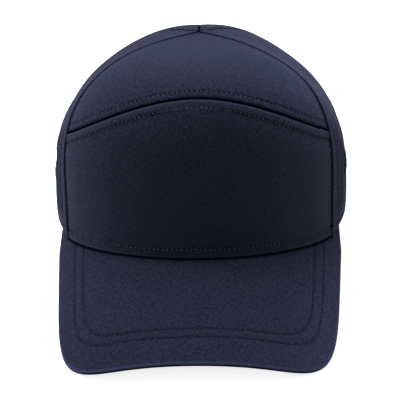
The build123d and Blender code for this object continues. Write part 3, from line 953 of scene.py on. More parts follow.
def peak_cover(name, sign, mesh, paths):
    """Upper (sign 1) or under (sign -1) fabric of the peak, rolled over the board's edge."""
    flat, faces, edge = mesh
    distance, out = peak_edge_facts(flat, edge)
    radius = PEAK_THICKNESS / 2
    inset = np.clip(distance, 0, radius)
    lean = (radius - inset) / radius
    normal = peak_normals(flat)
    level = np.column_stack([out, np.zeros(len(out))])
    face = level * lean[:, None] + sign * normal * np.sqrt(1 - lean ** 2)[:, None]
    depth = radius - np.sqrt(np.maximum(radius ** 2 - (radius - inset) ** 2, 0))
    depth = np.minimum(depth, radius - 0.1)
    if sign < 0:
        depth = PEAK_THICKNESS - depth
    middle = on_peak(flat)
    relief = 0.12 * np.sin(flat[:, 0] / 9 + 0.7 * np.sin(flat[:, 1] / 13)) * rise(distance, 3, 12)
    # Painted highlight in a line just inside the rolled edge, painted shade right at the edge.
    shade = 0.9 * bell(distance, 0.7, 0.6) - 0.8 * bell(distance, 0, 0.2)
    for path in paths:
        gap, along = nearest(flat, path[:, :2])
        relief -= 0.18 * bell(gap, 0, 0.6)
        # Painted shade along the stitch row.
        shade -= 0.45 * bell(gap, 0, 0.5)
        relief += 0.07 * np.sin(along * 2 * np.pi / 6.1) * bell(gap, 0, 3.0)
    brim_gap = nearest(middle, BRIM)[0]
    # Painted shade where the front panel comes down onto the peak.
    shade -= 1.0 * bell(brim_gap, 0, 1.0)
    outer = middle - normal * depth[:, None] + face * relief[:, None]
    inner = outer - face * (PEAK_SKIN + relief)[:, None]
    if sign < 0:
        faces = faces[:, ::-1]
    points, made = thick(outer, inner, faces)
    cad = "peak_top_cover" if sign > 0 else "peak_under_cover"
    make_object(name, points, made, twill, "cover", [cad], flat, shade)


def crown_plan(inset):
    """The crown's plan where the peak meets it, as a flat closed loop."""
    turn = np.linspace(0, 2 * np.pi, 720, endpoint=False)
    level = unit(np.column_stack([np.cos(turn), np.sin(turn), np.full(len(turn), -0.2)]))
    points = CENTRE + level * crown_radius(level, inset)[:, None]
    return points[:, :2]


def tucked_line(start, end, plan):
    """Along the plan from one flat point to another, round the front."""
    first = np.linalg.norm(plan - start, axis=1).argmin()
    last = np.linalg.norm(plan - end, axis=1).argmin()
    if first > last:
        first, last = last, first
    line = plan[first:last + 1]
    if np.linalg.norm(line[0] - start) > np.linalg.norm(line[-1] - start):
        line = line[::-1]
    return resample(np.vstack([start, line[1:-1], end]), EDGE_STEP)


def peak():
    """Both fabrics of the peak and the stitches through them."""
    paths = [stitch_path(*sizes) for sizes in STITCH_PATHS]
    mesh = peak_mesh(paths)
    peak_cover("peak_top_fabric", 1, mesh, paths)
    peak_cover("peak_under_fabric", -1, mesh, paths)
    rows = []
    for path in paths:
        normal = peak_normals(path[:, :2])
        rows.append((path - normal * STITCH_SINK, normal))
        rows.append((path - normal * (PEAK_THICKNESS - STITCH_SINK), -normal))
    stitches("peak_stitches", rows, thread, glint=-0.15)


# ---------------------------------------------------------------- vents

VENT_PITCH, VENT_HOLE = (3.1, 3.9), (1.0, 1.35)
VENT_Y, VENT_Z = (-60.0, 40.0), (20.0, 62.0)
VENT_SINK, VENT_THICKNESS = 0.75, 0.55


def vent_meshes():
    """Knitted mesh with real holes behind each side window."""
    turn = np.radians(np.arange(0, 360, 45))
    edge = vent_edge(-1.2)
    loop = chart_of(edge[:-1])
    if signed_area(loop) < 0:
        loop = loop[::-1]
    flat = vent_outline(1.3)
    holes = []
    for i, z in enumerate(np.arange(*VENT_Z, VENT_PITCH[1] / 2)):
        for y in np.arange(*VENT_Y, VENT_PITCH[0]) + (i % 2) * VENT_PITCH[0] / 2:
            if within(np.array([[y, z]]), flat[:-1])[0]:
                rim = cast(0, y + VENT_HOLE[0] * np.cos(turn), z + VENT_HOLE[1] * np.sin(turn), SIDEWAYS)
                holes.append(chart_of(rim)[::-1])
    grid = hexagonal(loop, 1.3)
    keep = within(grid, loop)
    for rim in holes:
        middle = rim.mean(0)
        keep &= np.hypot(*(grid - middle).T) > 1.9
    fill = grid[keep]
    fill = fill[nearest(crown_points(fill), edge)[0] > 0.6]
    chart, faces = triangulate([loop] + holes, fill)
    normal = crown_normals(chart)
    swell = form(crown_points(chart))
    outer = crown_points(chart) + normal * (swell - VENT_SINK)[:, None]
    inner = outer - normal * VENT_THICKNESS
    points, made = thick(outer, inner, faces)
    for name, mirror in (("right", False), ("left", True)):
        shown = flipped(points) if mirror else points
        turned = [face[::-1] for face in made] if mirror else made
        make_object(
            "vent_mesh_" + name + "_knit", shown, turned, mesh_knit, "cover",
            ["vent_mesh_" + name], chart,
        )


# ---------------------------------------------------------------- swept tapes and straps

def sweep(path, up, section, widths=None):
    """A closed solid: a section (across, outward) carried along a path, with flat ends."""
    side = unit(np.cross(up, np.gradient(path, axis=0)))
    widths = np.ones(len(path)) if widths is None else widths
    rings = [
        p + np.outer(section[:, 0] * w, a) + np.outer(section[:, 1], u)
        for p, a, u, w in zip(path, side, up, widths)
    ]
    points, around = np.vstack(rings), len(section)
    cloth = np.column_stack([np.repeat(walk(path), around), np.tile(section[:, 0], len(path))])
    faces = tube_faces(len(path), around)
    if signed_area(section) <= 0:
        faces = [face[::-1] for face in faces]
    return points, faces, cloth


def strip_section(half_width, outer, inner, across=9):
    """A flat strip with rounded edges, as a section."""
    rounding = (outer - inner) / 2
    x = np.linspace(-half_width + rounding, half_width - rounding, across)
    turn = np.radians([60, 20, -20, -60])
    right = np.column_stack([np.cos(turn), np.sin(turn)]) * rounding
    right += (half_width - rounding, (outer + inner) / 2)
    top = np.column_stack([x, np.full(across, outer)])
    return np.vstack([top, right, top[::-1] * (1, 0) + (0, inner), right[::-1] * (-1, 1)])


def joined(pieces):
    """Several (points, faces, cloth) as one."""
    points, faces, cloth, count = [], [], [], 0
    for some, rings, flat in pieces:
        points.append(some)
        cloth.append(flat)
        faces += [tuple(i + count for i in face) for face in rings]
        count += len(some)
    return np.vstack(points), faces, np.vstack(cloth)


def on_crown(curve):
    """A curve moved onto the cover's form, with the crown's normals."""
    normal = crown_normals(chart_of(curve))
    return curve + normal * form(curve)[:, None], normal


def add_joined(name, pieces, material, body, node):
    """One object of several closed solids, each with its points, faces and place on the cloth."""
    points, faces, cloth = joined(pieces)
    make_object(name, points, faces, material, body, [node], cloth)


BINDING_FOOT = 17.0
BINDING_SECTION = np.array([
    (5.0, 0.15), (4.6, 0.55), (3.4, 0.72), (1.6, 0.74), (0.2, 0.72), (-0.8, 0.45), (-1.3, -0.3),
    (-1.3, -1.3), (-0.8, -2.05), (0.4, -2.3), (2.5, -2.3), (4.6, -2.3), (5.0, -2.0), (4.8, -1.7),
    (0.2, -1.65), (-0.3, -1.2), (-0.3, -0.4), (0.2, -0.02), (2.4, 0.0), (4.8, 0.0),
])
BINDING_ROW = 3.6


def nape_binding():
    """Folded tape over the half-moon's edge, puckered a little, with one row of stitches."""
    half = NAPE[NAPE[:, 2] > BINDING_FOOT]
    curve = resample(np.vstack([half, flipped(half)[::-1][1:]]), 1.3)
    path, normal = on_crown(curve)
    walked = np.arange(len(path)) * 1.3
    path = path + normal * (0.1 * np.sin(walked * 2 * np.pi / 5.3))[:, None]
    section = BINDING_SECTION * (-1, 1)
    pieces = [sweep(path, normal, section)]
    add_joined("nape_binding_tape", pieces, tape, "cover", "nape_binding")
    lifted, normal = on_crown(beside(curve, -BINDING_ROW)[2:-2])
    stitches("binding_stitches", [(lifted + normal * 0.74, normal)], thread)


TAPE_START = 24.0
TAPE_HALF_WIDTH = 6.0
TAPE_INNER = 2.6


def seam_tapes():
    """Tapes over the five seams inside the cover, and a round patch where they meet."""
    section = strip_section(TAPE_HALF_WIDTH, -FABRIC, -TAPE_INNER)
    pieces = []
    for seam in (FRONT_SEAM, flipped(FRONT_SEAM), REAR_SEAM, flipped(REAR_SEAM), BACK_SEAM):
        curve = resample(seam[seam[:, 2] > TAPE_START], 3.0)
        curve = curve[:-1] if seam is BACK_SEAM else curve
        path, normal = on_crown(curve)
        pieces.append(sweep(path, normal, section))
    around = 48
    turn = np.linspace(0, 2 * np.pi, around, endpoint=False)
    radii, depths = (0.01, 4, 8, 11.5, 12.0), (2.95, 2.95, 2.9, 2.8, 2.4)
    disc = chart_of(np.array([[0, APEX[1], 110.0]]))[0]
    points = np.vstack([disc + r * np.column_stack([np.cos(turn), np.sin(turn)]) for r in radii])
    count, last = len(points), len(points) - around
    base, normal = crown_points(points), crown_normals(points)
    top = base - normal * (FABRIC + 0.05)
    bottom = base - normal * np.repeat(depths, around)[:, None]
    faces = tube_faces(len(radii), around)[2:]
    closed = [face[::-1] for face in faces] + [tuple(i + count for i in face) for face in faces]
    for k in range(around):
        a, b = last + k, last + (k + 1) % around
        closed.append((a, b, b + count, a + count))
    closed += [tuple(range(around)), tuple(count + k for k in reversed(range(around)))]
    pieces.append((np.vstack([top, bottom]), closed, np.vstack([points, points])))
    add_joined("seam_tapes_woven", pieces, tape, "cover", "seam_tapes")


# ---------------------------------------------------------------- layers inside the cover

LAYER_INNER = 2.8
LINING_HALF_WIDTH = 62.0
LINING_MARGIN = 8.0


def front_lining():
    """Felt behind the front panel, with edges that thin out."""
    half = LINING_HALF_WIDTH
    x = np.linspace(-half, half, 120)
    top = resample(cast(x, APEX[1], ARCH_TOP - LINING_MARGIN - ARCH_FALL * x * x, AHEAD), 2.0)
    low = resample(cast(np.linspace(-half, half, 200), APEX[1], TAPE_START, AHEAD), 2.0)
    z = np.linspace(top[0, 2], TAPE_START, 60)
    sides = [resample(cast(x, APEX[1], z, AHEAD), 2.0) for x in (half, -half)]
    panel = Panel([top, sides[0], low[::-1], sides[1][::-1]], step=4.0)
    distance = closest(panel.base, panel.bounds)
    thin = 0.5 * (1 - rise(distance, 0, 1.4))
    ripple = 0.08 * np.sin(panel.chart[:, 0] / 3.1) * np.sin(panel.chart[:, 1] / 4.3)
    ripple = ripple * rise(distance, 1, 6)
    swell = form(panel.base)
    top = panel.base + panel.normal * (swell - FABRIC - thin * 0.2)[:, None]
    bottom = panel.base + panel.normal * (swell - LAYER_INNER + thin + ripple)[:, None]
    points, faces = thick(top, bottom, panel.faces)
    # Painted shade along the felt's edges.
    make_object(
        "front_lining_felt", points, faces, lining, "cover", ["front_lining"],
        panel.chart, -0.4 * bell(distance, 0, 0.6),
    )


def rounded_rectangle(low, high, radius):
    """A closed flat loop."""
    middle = (np.array(low) + high) / 2
    corner = (np.array(high) - low) / 2 - radius
    loop = []
    for way, start in (((1, 1), 0), ((-1, 1), 90), ((-1, -1), 180), ((1, -1), 270)):
        turn = np.radians(np.linspace(start, start + 90, 7))
        arc = np.column_stack([np.cos(turn), np.sin(turn)]) * radius
        loop.append(middle + corner * way + arc)
    return np.vstack([*loop, loop[0][:1]])


PATCH_SIDE = ((30.0, 56.0), (60.0, 72.0))
PATCH_REAR = ((-20.0, 40.0), (20.0, 66.0))
PATCH_ROUNDING = 2.5
PILE_ROUGHNESS = 0.12
HOOK_MARGIN = 1.0
HOOK_LAYER = (3.2, 5.05)


def patch_curves(shrink):
    """The patches' edges on the crown: right, left and behind."""
    flat = [
        rounded_rectangle(np.array(low) + shrink, np.array(high) - shrink, PATCH_ROUNDING)
        for low, high in (PATCH_SIDE, PATCH_REAR)
    ]
    side = cast(0, *flat[0].T, SIDEWAYS)
    rear = cast(*flat[1].T, WIDEST_HEIGHT, UPWARD)
    return [resample(curve, 1.6) for curve in (side, flipped(side), rear)]


def pile_patches(name, curves, outer, inner, body, node):
    """Patches of hook or loop pile; their free faces thin out towards the edge."""
    on_cover = body == "cover"
    pieces = []
    for curve in curves:
        panel = Panel([curve], step=1.6)
        distance = closest(panel.base, panel.bounds)
        thin = 0.5 * (1 - rise(distance, 0, 1.2))
        level = PILE_ROUGHNESS * random.uniform(-1, 1, len(distance)) * rise(distance, 0.5, 1.5)
        level += form(panel.base) if on_cover else 0
        top = panel.base + panel.normal * (level - outer - (0 if on_cover else thin))[:, None]
        bottom = panel.base + panel.normal * (level - inner + (thin if on_cover else 0))[:, None]
        points, faces = thick(top, bottom, panel.faces)
        pieces.append((points, faces, np.vstack([panel.chart, panel.chart])))
    add_joined(name, pieces, hooks, body, node)


def patches():
    """Loop patches inside the cover, and hook patches on the shell under them."""
    pile_patches("loop_patches_pile", patch_curves(0.0), FABRIC, LAYER_INNER, "cover", "loop_patches")
    pile_patches("shell_hooks_pile", patch_curves(HOOK_MARGIN), *HOOK_LAYER, "insert", "shell_hook_patches")


HEM_HEIGHT = 22.0
HEM_INNER = 3.0
HEM_END_X = 60.0
HEM_END_REACH = 103.0
HEM_POINTS = 420


def hem_band():
    """The folded hem inside the rim, from one side of the nape opening round the front."""
    end = np.pi / 2 - np.arcsin(HEM_END_X / HEM_END_REACH)
    turn = np.linspace(end, -np.pi - end, HEM_POINTS)
    foot = crown_at(turn, lambda p: rim_height(p) + 0.5)
    head = crown_at(turn, lambda p: np.full(len(p), HEM_HEIGHT))
    levels = np.linspace(0, 1, 12)
    rows = [crown_points(foot + (head - foot) * t) for t in levels]
    count = len(turn)
    base = np.vstack(rows)
    normal = crown_normals(chart_of(base))
    swell = form(base)
    fold = np.repeat(0.25 * np.sin(levels * np.pi) + 0.15 * bell(levels, 0, 0.1), count)
    top = base + normal * (swell - FABRIC - 0.02)[:, None]
    bottom = base + normal * (swell - HEM_INNER + 0.3 - fold)[:, None]
    faces = []
    for i in range(len(levels) - 1):
        for k in range(count - 1):
            a = i * count + k
            faces += [(a, a + 1, a + count + 1), (a, a + count + 1, a + count)]
    faces = np.array(faces)
    a, b, c = (base[faces[:, i]] for i in range(3))
    if (np.cross(b - a, c - a) * normal[faces[:, 0]]).sum() < 0:
        faces = faces[:, ::-1]
    points, made = thick(top, bottom, faces)
    walked = np.tile(np.arange(count) * 1.6, len(levels))
    up = np.repeat(levels * HEM_HEIGHT, count)
    cloth = np.column_stack([up, walked])
    make_object("hem_band_tape", points, made, tape, "cover", ["hem_band"], cloth)


# ---------------------------------------------------------------- nape strap

STRAP_LOW, STRAP_HIGH = -1.0, 16.0
STRAP_MIDDLE = (STRAP_LOW + STRAP_HIGH) / 2
STRAP_THICKNESS = 1.5
STRAP_END_X = 56.0
PIVOT_X, TAB_BAR_X = 30.0, 40.0
BAR_DEPTH = 0.6
BAND_DEPTH = 2.35
TAIL_DEPTH = -1.15
TAIL_END_X = -34.0
TAB_THICKNESS, TAIL_THICKNESS = 1.1, 1.3
TAB_LOOP_RADIUS, SLEEVE_RADIUS = 1.5, 1.85
LOOP_STRIP_X, HOOK_STRIP_X = (-40.0, 22.0), (-31.0, 20.0)
TAIL_ROWS_X, TAB_ROWS_X = (-31, 19, 24), (46, 48.6)
TAIL_ROUNDING = 6.0
TAIL_FACE = 0.65
STITCH_MARGIN = 1.9


def nape_line(x, depth):
    """Points at the strap's middle height on a layer of the crown, behind."""
    return cast(x, 0, STRAP_MIDDLE, BEHIND, depth)


def flat_normals(path):
    """Level normals of a path, to its right."""
    return unit(np.cross(np.gradient(path, axis=0), UPWARD))


def around_bar(x, radius, start, end, count):
    """Part of a turn round an upright bar of the buckle, in degrees seen from above."""
    bar = nape_line(np.array([x]), BAR_DEPTH)[0]
    turn = np.radians(np.linspace(start, end, count))
    ring = np.column_stack([np.cos(turn), np.sin(turn), np.zeros(count)])
    return bar + ring * radius


def strap_solid(path, half_width, thickness, widths=None):
    """A woven strap along a path, its wide side upright, edges rounded and a rib near each."""
    section = strip_section(half_width, thickness / 2, -thickness / 2, 13)
    ribs = 0.12 * (np.abs(np.abs(section[:, 0]) - (half_width - 1.0)) < 0.7)
    section = section + np.column_stack([np.zeros(len(section)), ribs * np.sign(section[:, 1])])
    return sweep(path, flat_normals(path), section, widths)


def flat_strip(ends, count, depth, section):
    """A strip of pile along the strap."""
    path = nape_line(np.linspace(*ends, count), depth)
    return sweep(path, flat_normals(path), section)


def upright_row(x, depth, half, lift=0.0):
    """A row of stitches up the strap at one place across it."""
    line = nape_line(np.full(24, float(x)), depth)
    normal = outward(line)
    return line + normal * lift + np.linspace(-half, half, 24)[:, None] * (0, 0, 1), normal


def strap():
    """The band, the buckle's tab and the tail, which turns round the buckle's bar."""
    half = (STRAP_HIGH - STRAP_LOW) / 2
    band = nape_line(np.linspace(-STRAP_END_X, PIVOT_X - 3.0, 70), BAND_DEPTH)
    tab = nape_line(np.linspace(STRAP_END_X, TAB_BAR_X + 2.2, 18), BAND_DEPTH)
    tab = np.vstack([tab, around_bar(TAB_BAR_X, TAB_LOOP_RADIUS, -70, 250, 20)])

    sleeve = around_bar(PIVOT_X, SLEEVE_RADIUS, -110, 75, 16)
    flap = nape_line(np.linspace(PIVOT_X - 2.5, TAIL_END_X, 66), TAIL_DEPTH)
    tail = resample(np.vstack([sleeve, flap]), 1.0)
    left = np.linalg.norm(tail - tail[-1], axis=1)
    tail_half = half - STRAP_THICKNESS
    short = np.clip(TAIL_ROUNDING - left, 0, TAIL_ROUNDING)
    widths = (tail_half - TAIL_ROUNDING + np.sqrt(TAIL_ROUNDING ** 2 - short ** 2)) / tail_half
    widths = np.maximum(widths, 0.2)

    loops = flat_strip(LOOP_STRIP_X, 60, 1.2, strip_section(half - 2, 0.4, -0.42, 13))
    hooked = flat_strip(HOOK_STRIP_X, 50, 0.0, strip_section(tail_half - 2, 0.42, -0.4, 13))
    for name, solid, material, body, slot, node in (
        ("strap_band_webbing", strap_solid(band, half, STRAP_THICKNESS),
         webbing, "cover", "strap_webbing", "strap_band"),
        ("buckle_tab_webbing", strap_solid(tab, half - 1.0, TAB_THICKNESS),
         webbing, "cover", "strap_webbing", "buckle_tab"),
        ("strap_tail_webbing", strap_solid(tail, tail_half, TAIL_THICKNESS, widths),
         webbing, "tail", "strap_webbing", "strap_tail"),
        ("strap_loop_pile", loops, hooks, "cover", "hook_and_loop", "strap_loop_patch"),
        ("tail_hooks_pile", hooked, hooks, "tail", "hook_and_loop", "tail_hook_patch"),
    ):
        add_joined(name, [solid], material, body, node)

    line = resample(nape_line(np.linspace(*TAIL_ROWS_X[:2], 60), TAIL_DEPTH), 1.0)
    normal = flat_normals(line)
    reach = tail_half - STITCH_MARGIN
    rows = [(line + normal * TAIL_FACE + np.array([0, 0, z]), normal) for z in (-reach, reach)]
    rows += [upright_row(x, TAIL_DEPTH, reach, TAIL_FACE) for x in TAIL_ROWS_X]
    stitches("tail_stitches", fixed_out(rows), thread, "tail")
    rows = [upright_row(x, BAND_DEPTH - 0.55, half - 2.4) for x in TAB_ROWS_X]
    stitches("tab_stitches", rows, thread, "cover")


def outward(points):
    """Level normals that point away from the crown's middle."""
    return unit(crown_normals(chart_of(points)) * (1, 1, 0))


def fixed_out(rows):
    """The same rows, with every normal turned outwards."""
    fixed = []
    for path, normal in rows:
        inward = (normal * outward(path)).sum(1) < 0
        fixed.append((path, np.where(inward[:, None], -normal, normal)))
    return fixed


# ---------------------------------------------------------------- pads and sweatband

PAD_OUTER, PAD_INNER = 7.45, 13.0
PAD_ROUNDING = 4.0
CROWN_PAD_Y, CROWN_PAD_RADIUS, CROWN_PAD_CUT = 4.0, 38.0, 47.0
FRONT_PAD_Y, FRONT_PAD_HALF_WIDTH, PAD_FOOT = -50.0, 46.0, 40.0
SIDE_PAD_Y, SIDE_PAD_FOOT = (-38.0, 28.0), 20.0
PAD_GAP = 9.0
SHELL_NAPE = (64.0, 70.0)
PAD_SLOT_HEIGHT, PAD_SLOT_HALF = 42.0, 5.0
CHANNEL_RADIUS, CHANNEL_X, CHANNEL_DEPTH = 19.0, 16.0, 1.7


def pad_object(name, panel, node, channels=()):
    """A foam pad with a cloth face: glued flat to the shell, crowned towards the head."""
    distance = closest(panel.base, panel.bounds)
    share = np.clip(distance / PAD_ROUNDING, 0, 1)
    thickness = (PAD_INNER - PAD_OUTER) * (0.22 + 0.70 * np.sqrt(1 - (1 - share) ** 2))
    # Painted shade along the pad's edge.
    shade = -0.3 * bell(distance, 0, 0.8)
    gaps = [nearest(panel.base, channel)[0] for channel in channels]
    for gap in gaps:
        thickness -= CHANNEL_DEPTH * bell(gap, 0, 1.8)
        # Painted shade in the channel.
        shade -= 0.4 * bell(gap, 0, 0.8)
    edge = 0.35 * (1 - share) ** 2
    top = crown_points(panel.chart, PAD_OUTER) - panel.normal * edge[:, None]
    bottom = crown_points(panel.chart, PAD_OUTER) - panel.normal * thickness[:, None]
    points, faces = thick(top, bottom, panel.faces)
    piece = make_object(
        name, points, faces, foam, "insert", [node], panel.chart, shade, sharp=0
    )
    glue = piece.vertex_groups.new(name="glued")
    glue.add(list(range(len(top))), 1.0, "REPLACE")
    for held in [distance < 0.4] + [gap < 1.0 for gap in gaps]:
        glue.add([int(i) + len(top) for i in np.where(held)[0]], 1.0, "REPLACE")
    return piece


def pad_region(test):
    """The outline of the crown's part that passes a test, traced on a fine chart grid."""
    span = np.arange(-190.0, 191.0)
    grid_x, grid_y = np.meshgrid(span, span)
    chart = np.column_stack([grid_x.ravel(), grid_y.ravel()])
    good = np.zeros(len(chart))
    near = np.hypot(*chart.T) < 200
    good[near] = test(crown_points(chart[near]))
    return trace(good.reshape(grid_x.shape), span)


def trace(field, span):
    """The longest zero line of a field on a square grid, as a closed loop, smoothed."""
    links = {}
    rows, columns = field.shape
    for i in range(rows - 1):
        if field[i:i + 2].max() <= 0:
            continue
        for j in range(columns - 1):
            spots = [(i, j), (i, j + 1), (i + 1, j + 1), (i + 1, j)]
            corner = [field[spot] for spot in spots]
            if min(corner) > 0 or max(corner) <= 0:
                continue
            cuts = []
            for k in range(4):
                a, b = corner[k], corner[(k + 1) % 4]
                if (a > 0) != (b > 0):
                    key = tuple(sorted((spots[k], spots[(k + 1) % 4])))
                    cuts.append((key, a > 0))
            for k in range(0, len(cuts) - 1, 2):
                links.setdefault(cuts[k][0], []).append(cuts[k + 1][0])
                links.setdefault(cuts[k + 1][0], []).append(cuts[k][0])
    best, seen = [], set()
    for first in links:
        if first in seen:
            continue
        loop, here = [], first
        while here is not None and here not in seen:
            seen.add(here)
            loop.append(here)
            here = next((n for n in links[here] if n not in seen), None)
        if len(loop) > len(best):
            best = loop
    places = []
    for a, b in best:
        t = field[a] / (field[a] - field[b])
        y, x = (span[i] + (span[j] - span[i]) * t for i, j in zip(a, b))
        places.append((x, y))
    loop = np.array(places)
    for _ in range(3):
        loop = (np.roll(loop, 1, axis=0) + 2 * loop + np.roll(loop, -1, axis=0)) / 4
    return loop


def pad_panel(test):
    """A pad's outline, where the least of several margins is positive, as a panel."""
    loop = crown_points(pad_region(test))
    return Panel([resample(np.vstack([loop, loop[:1]]), 2.4)], step=3.0)


def least(*margins):
    """The smallest margin, with soft corners."""
    stack = np.array(margins) / 3.0
    return -3.0 * np.log(np.exp(-np.clip(stack, -60, 60)).sum(0))


def pads():
    """The foam pads. Each is where all its margins are positive; a slot cuts the side pads in two."""
    def ring(p):
        return np.hypot(p[:, 0], p[:, 1] - CROWN_PAD_Y) - CROWN_PAD_CUT

    def crown(p):
        return least(CROWN_PAD_RADIUS + 0.5 - np.hypot(p[:, 0], p[:, 1] - CROWN_PAD_Y), p[:, 2] - 60)

    def front(p):
        x, y, z = p.T
        half = FRONT_PAD_HALF_WIDTH
        return least(ring(p), FRONT_PAD_Y - y, half - x, half + x, z - PAD_FOOT)

    def side(p):
        x, y, z = p.T
        above = z - PAD_SLOT_HEIGHT - PAD_SLOT_HALF
        return least(ring(p), x, y - SIDE_PAD_Y[0], SIDE_PAD_Y[1] - y, z - SIDE_PAD_FOOT, above)

    def side_low(p):
        x, y, z = p.T
        below = PAD_SLOT_HEIGHT - PAD_SLOT_HALF - z
        return least(x, y - SIDE_PAD_Y[0], SIDE_PAD_Y[1] - y, z - SIDE_PAD_FOOT, below)

    def rear(p):
        x, y, z = p.T
        arch = (np.hypot(x / SHELL_NAPE[0], z / SHELL_NAPE[1]) - 1) * SHELL_NAPE[0]
        return least(ring(p), x - PAD_GAP, y - SIDE_PAD_Y[1] - PAD_GAP, arch, z - SIDE_PAD_FOOT)

    soft = [pad_object("crown_pad_foam", pad_panel(crown), "crown_pad", crown_channels())]
    soft.append(pad_object("front_pad_foam", pad_panel(front), "front_pad", front_channels()))
    for name, mirror in (("right", 1), ("left", -1)):
        for kind, part, test in (("side", "", side), ("side", "_low", side_low), ("rear", "", rear)):
            node = kind + "_pad_" + name
            panel = pad_panel(lambda p: test(p * (mirror, 1, 1)))
            soft.append(pad_object(node + part + "_foam", panel, node))
    return soft


def crown_channels():
    turn = np.linspace(0, 2 * np.pi, 200)
    x, y = CHANNEL_RADIUS * np.cos(turn), CHANNEL_RADIUS * np.sin(turn)
    return [cast(x, CROWN_PAD_Y + y, WIDEST_HEIGHT, UPWARD)]


def front_channels():
    return [cast(x, 0, np.linspace(PAD_FOOT + 6, 92, 40), AHEAD) for x in (-CHANNEL_X, CHANNEL_X)]


SWEATBAND_FOOT, SWEATBAND_TOP, SWEATBAND_INNER = 15.5, 37.0, 10.4
SWEATBAND_BACK_Y = -41.0
SWEATBAND_STEP = 1.6
SWEATBAND_AROUND = 28


def sweatband():
    """A soft towelling band round the forehead, fuller in the middle, gathered a little."""
    middle = (SWEATBAND_FOOT + SWEATBAND_TOP) / 2
    half = (SWEATBAND_TOP - SWEATBAND_FOOT) / 2
    turn = np.linspace(0, -np.pi, 500)
    ways = np.column_stack([np.cos(turn), np.sin(turn), np.zeros(500)])
    line = hit(np.array([0, 0, middle]), ways, PAD_OUTER)
    line = resample(line[line[:, 1] < SWEATBAND_BACK_Y], SWEATBAND_STEP)
    levels = np.radians(np.linspace(0, 360, SWEATBAND_AROUND, endpoint=False))
    across = np.sign(np.cos(levels)) * np.abs(np.cos(levels)) ** 0.35
    inside = np.where(np.sin(levels) > 0, 0.0, np.abs(np.sin(levels)) ** 0.45)
    count = len(line)
    rings, cloth = [], []
    for i, (way, out) in enumerate(zip(unit(line * (1, 1, 0)), crown_normals(chart_of(line)))):
        swell = 0.12 * np.sin(i * SWEATBAND_STEP * 2 * np.pi / 7.0)
        ends = min(i, count - 1 - i)
        depth = (SWEATBAND_INNER - PAD_OUTER + swell) * inside * min(1.0, 0.4 + ends / 4)
        z = middle + across * half * min(1.0, 0.9 + ends / 30)
        rings.append(cast(0, 0, z, way, PAD_OUTER) - out * (depth + 0.05)[:, None])
        cloth.append(np.column_stack([np.full(len(z), i * SWEATBAND_STEP), across * half]))
    points, faces = np.vstack(rings), tube_faces(count, SWEATBAND_AROUND)
    piece = make_object(
        "sweatband_towel", points, faces, towelling, "insert", ["sweatband"],
        np.vstack(cloth), sharp=0,
    )


CLOTH_FRAMES = 14
CLOTH_PRESSURE = 3.0
CLOTH_STIFFNESS = 30
CLOTH_BENDING = 2
SWELL_LIMIT = 0.0010


def puff(pieces):
    """Cloth simulation: the pads' faces swell a little between what is glued, and are kept."""
    rest = {}
    for piece in pieces:
        rest[piece.name] = vertex_array(piece.data)
        cloth = piece.modifiers.new("cloth", "CLOTH")
        cloth.settings.vertex_group_mass = "glued"
        cloth.settings.use_pressure = True
        cloth.settings.uniform_pressure_force = CLOTH_PRESSURE
        cloth.settings.tension_stiffness = CLOTH_STIFFNESS
        cloth.settings.compression_stiffness = CLOTH_STIFFNESS
        cloth.settings.bending_stiffness = CLOTH_BENDING
        cloth.settings.effector_weights.gravity = 0
        cloth.point_cache.frame_start = 1
        cloth.point_cache.frame_end = CLOTH_FRAMES
    scene = bpy.context.scene
    for number in range(1, CLOTH_FRAMES + 1):
        scene.frame_set(number)
        bpy.context.view_layer.update()
    graph = bpy.context.evaluated_depsgraph_get()
    for piece in pieces:
        moved = vertex_array(piece.evaluated_get(graph).data)
        shift = moved - rest[piece.name]
        size = np.linalg.norm(shift, axis=1)
        shift *= (np.minimum(size, SWELL_LIMIT) / np.maximum(size, 1e-12))[:, None]
        piece.modifiers.remove(piece.modifiers["cloth"])
        piece.data.vertices.foreach_set("co", (rest[piece.name] + shift).astype(np.float32).ravel())
        piece.data.update()
    scene.frame_set(1)


def vertex_array(mesh):
    held = np.zeros(len(mesh.vertices) * 3, np.float32)
    mesh.vertices.foreach_get("co", held)
    return held.reshape(-1, 3).astype(float)


# ---------------------------------------------------------------- what stays as the CAD has it

def dress(node, material):
    """A material for a piece whose shape stays as the CAD has it."""
    piece = frame["nodes"][node]
    piece.data.materials.clear()
    piece.data.materials.append(material)


# ---------------------------------------------------------------- studio

CAMERA_TARGET = np.array([-1.5, 0.0, -5.1])
CAMERA_DISTANCE = 810.0
CAMERA_ELEVATION = np.radians(20.765)
CAMERA_AZIMUTH = np.radians(1.903)
CAMERA_ROLL = np.radians(-1.301)
CAMERA_LENS = 108.57
FLOOR_GLOW = 0.8
FLOOR_REACH = 6.0
SKY_STRENGTH = 0.35
LAMPS = (
    ("above", (-0.35, 0.30, 1.3), 1.0, 28.0),
    ("front", (-0.6, -1.6, 1.5), 1.2, 4.5),
    ("left", (-1.3, 0.3, 0.7), 0.8, 7.5),
    ("right", (1.3, 0.3, 0.6), 0.8, 4.5),
)


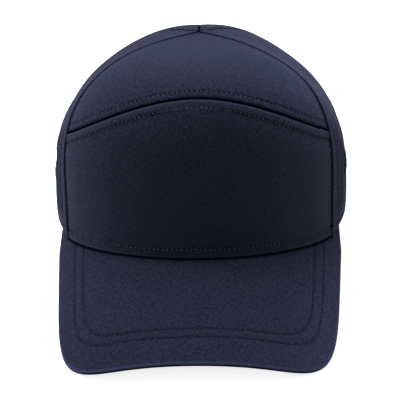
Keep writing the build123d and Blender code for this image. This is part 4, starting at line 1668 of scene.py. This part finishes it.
def camera():
    """The camera stands where the photograph's viewpoint is."""
    az, el, roll = CAMERA_AZIMUTH, CAMERA_ELEVATION, CAMERA_ROLL
    back = np.array([np.sin(az) * np.cos(el), -np.cos(az) * np.cos(el), np.sin(el)])
    level = np.array([np.cos(az), np.sin(az), 0.0])
    upright = np.cross(back, level)
    right = level * np.cos(roll) + upright * np.sin(roll)
    above = upright * np.cos(roll) - level * np.sin(roll)
    data = bpy.data.cameras.new("camera")
    data.lens = CAMERA_LENS
    data.clip_end = 20.0
    held = bpy.data.objects.new("camera", data)
    bpy.context.scene.collection.objects.link(held)
    turn = TURN @ np.column_stack([right, above, back])
    held.matrix_world = Matrix.LocRotScale(
        Vector(placed(CAMERA_TARGET + back * CAMERA_DISTANCE)), Matrix(turn.tolist()), None
    )
    bpy.context.scene.camera = held


def softbox(name, place, size, power):
    """A large square lamp that faces the cap."""
    data = bpy.data.lights.new(name, "AREA")
    data.shape = "SQUARE"
    data.size = size
    data.energy = power
    lamp = bpy.data.objects.new(name, data)
    lamp.location = place
    lamp.rotation_mode = "QUATERNION"
    aim = Vector((0, 0, 0.07)) - Vector(place)
    lamp.rotation_quaternion = aim.to_track_quat("-Z", "Y")
    bpy.context.scene.collection.objects.link(lamp)


def studio():
    """Four soft lamps and a pale floor that nearly vanishes into white."""
    scene = bpy.context.scene
    scene.view_settings.view_transform = "Standard"
    world = bpy.data.worlds.new("studio")
    world.use_nodes = True
    background = world.node_tree.nodes["Background"]
    background.inputs["Color"].default_value = colour(0.93, 0.96, 1.0)
    background.inputs["Strength"].default_value = SKY_STRENGTH
    scene.world = world
    for name, place, size, power in LAMPS:
        softbox("lamp_" + name, place, size, power)
    shader = Shader("pale_floor")
    place = shader.add("ShaderNodeTexCoord").outputs["Object"]
    mottle = shader.noise(place, 3.0, 2.0)
    pale = shader.mixed(mottle, colour(0.90, 0.90, 0.90), colour(0.93, 0.93, 0.93))
    floor_material = shader.finish(
        base_color=pale, roughness=0.9, emission_color=colour(1, 1, 1), emission_strength=FLOOR_GLOW
    )
    mesh = bpy.data.meshes.new("floor")
    corners = [(x * FLOOR_REACH, y * FLOOR_REACH, 0) for x, y in ((-1, -1), (1, -1), (1, 1), (-1, 1))]
    mesh.from_pydata(corners, [], [(0, 1, 2, 3)])
    mesh.materials.append(floor_material)
    floor = bpy.data.objects.new("floor", mesh)
    scene.collection.objects.link(floor)
    floor.location.z = -0.0005
    floor.visible_diffuse = False


camera()
studio()
crown_panels()
peak()
vent_meshes()
dress("shell", shell_plastic)
dress("buckle", buckle_plastic)
dress("peak_board", board_plastic)
nape_binding()
seam_tapes()
front_lining()
patches()
hem_band()
strap()
sweatband()
soft = pads()
puff(soft)
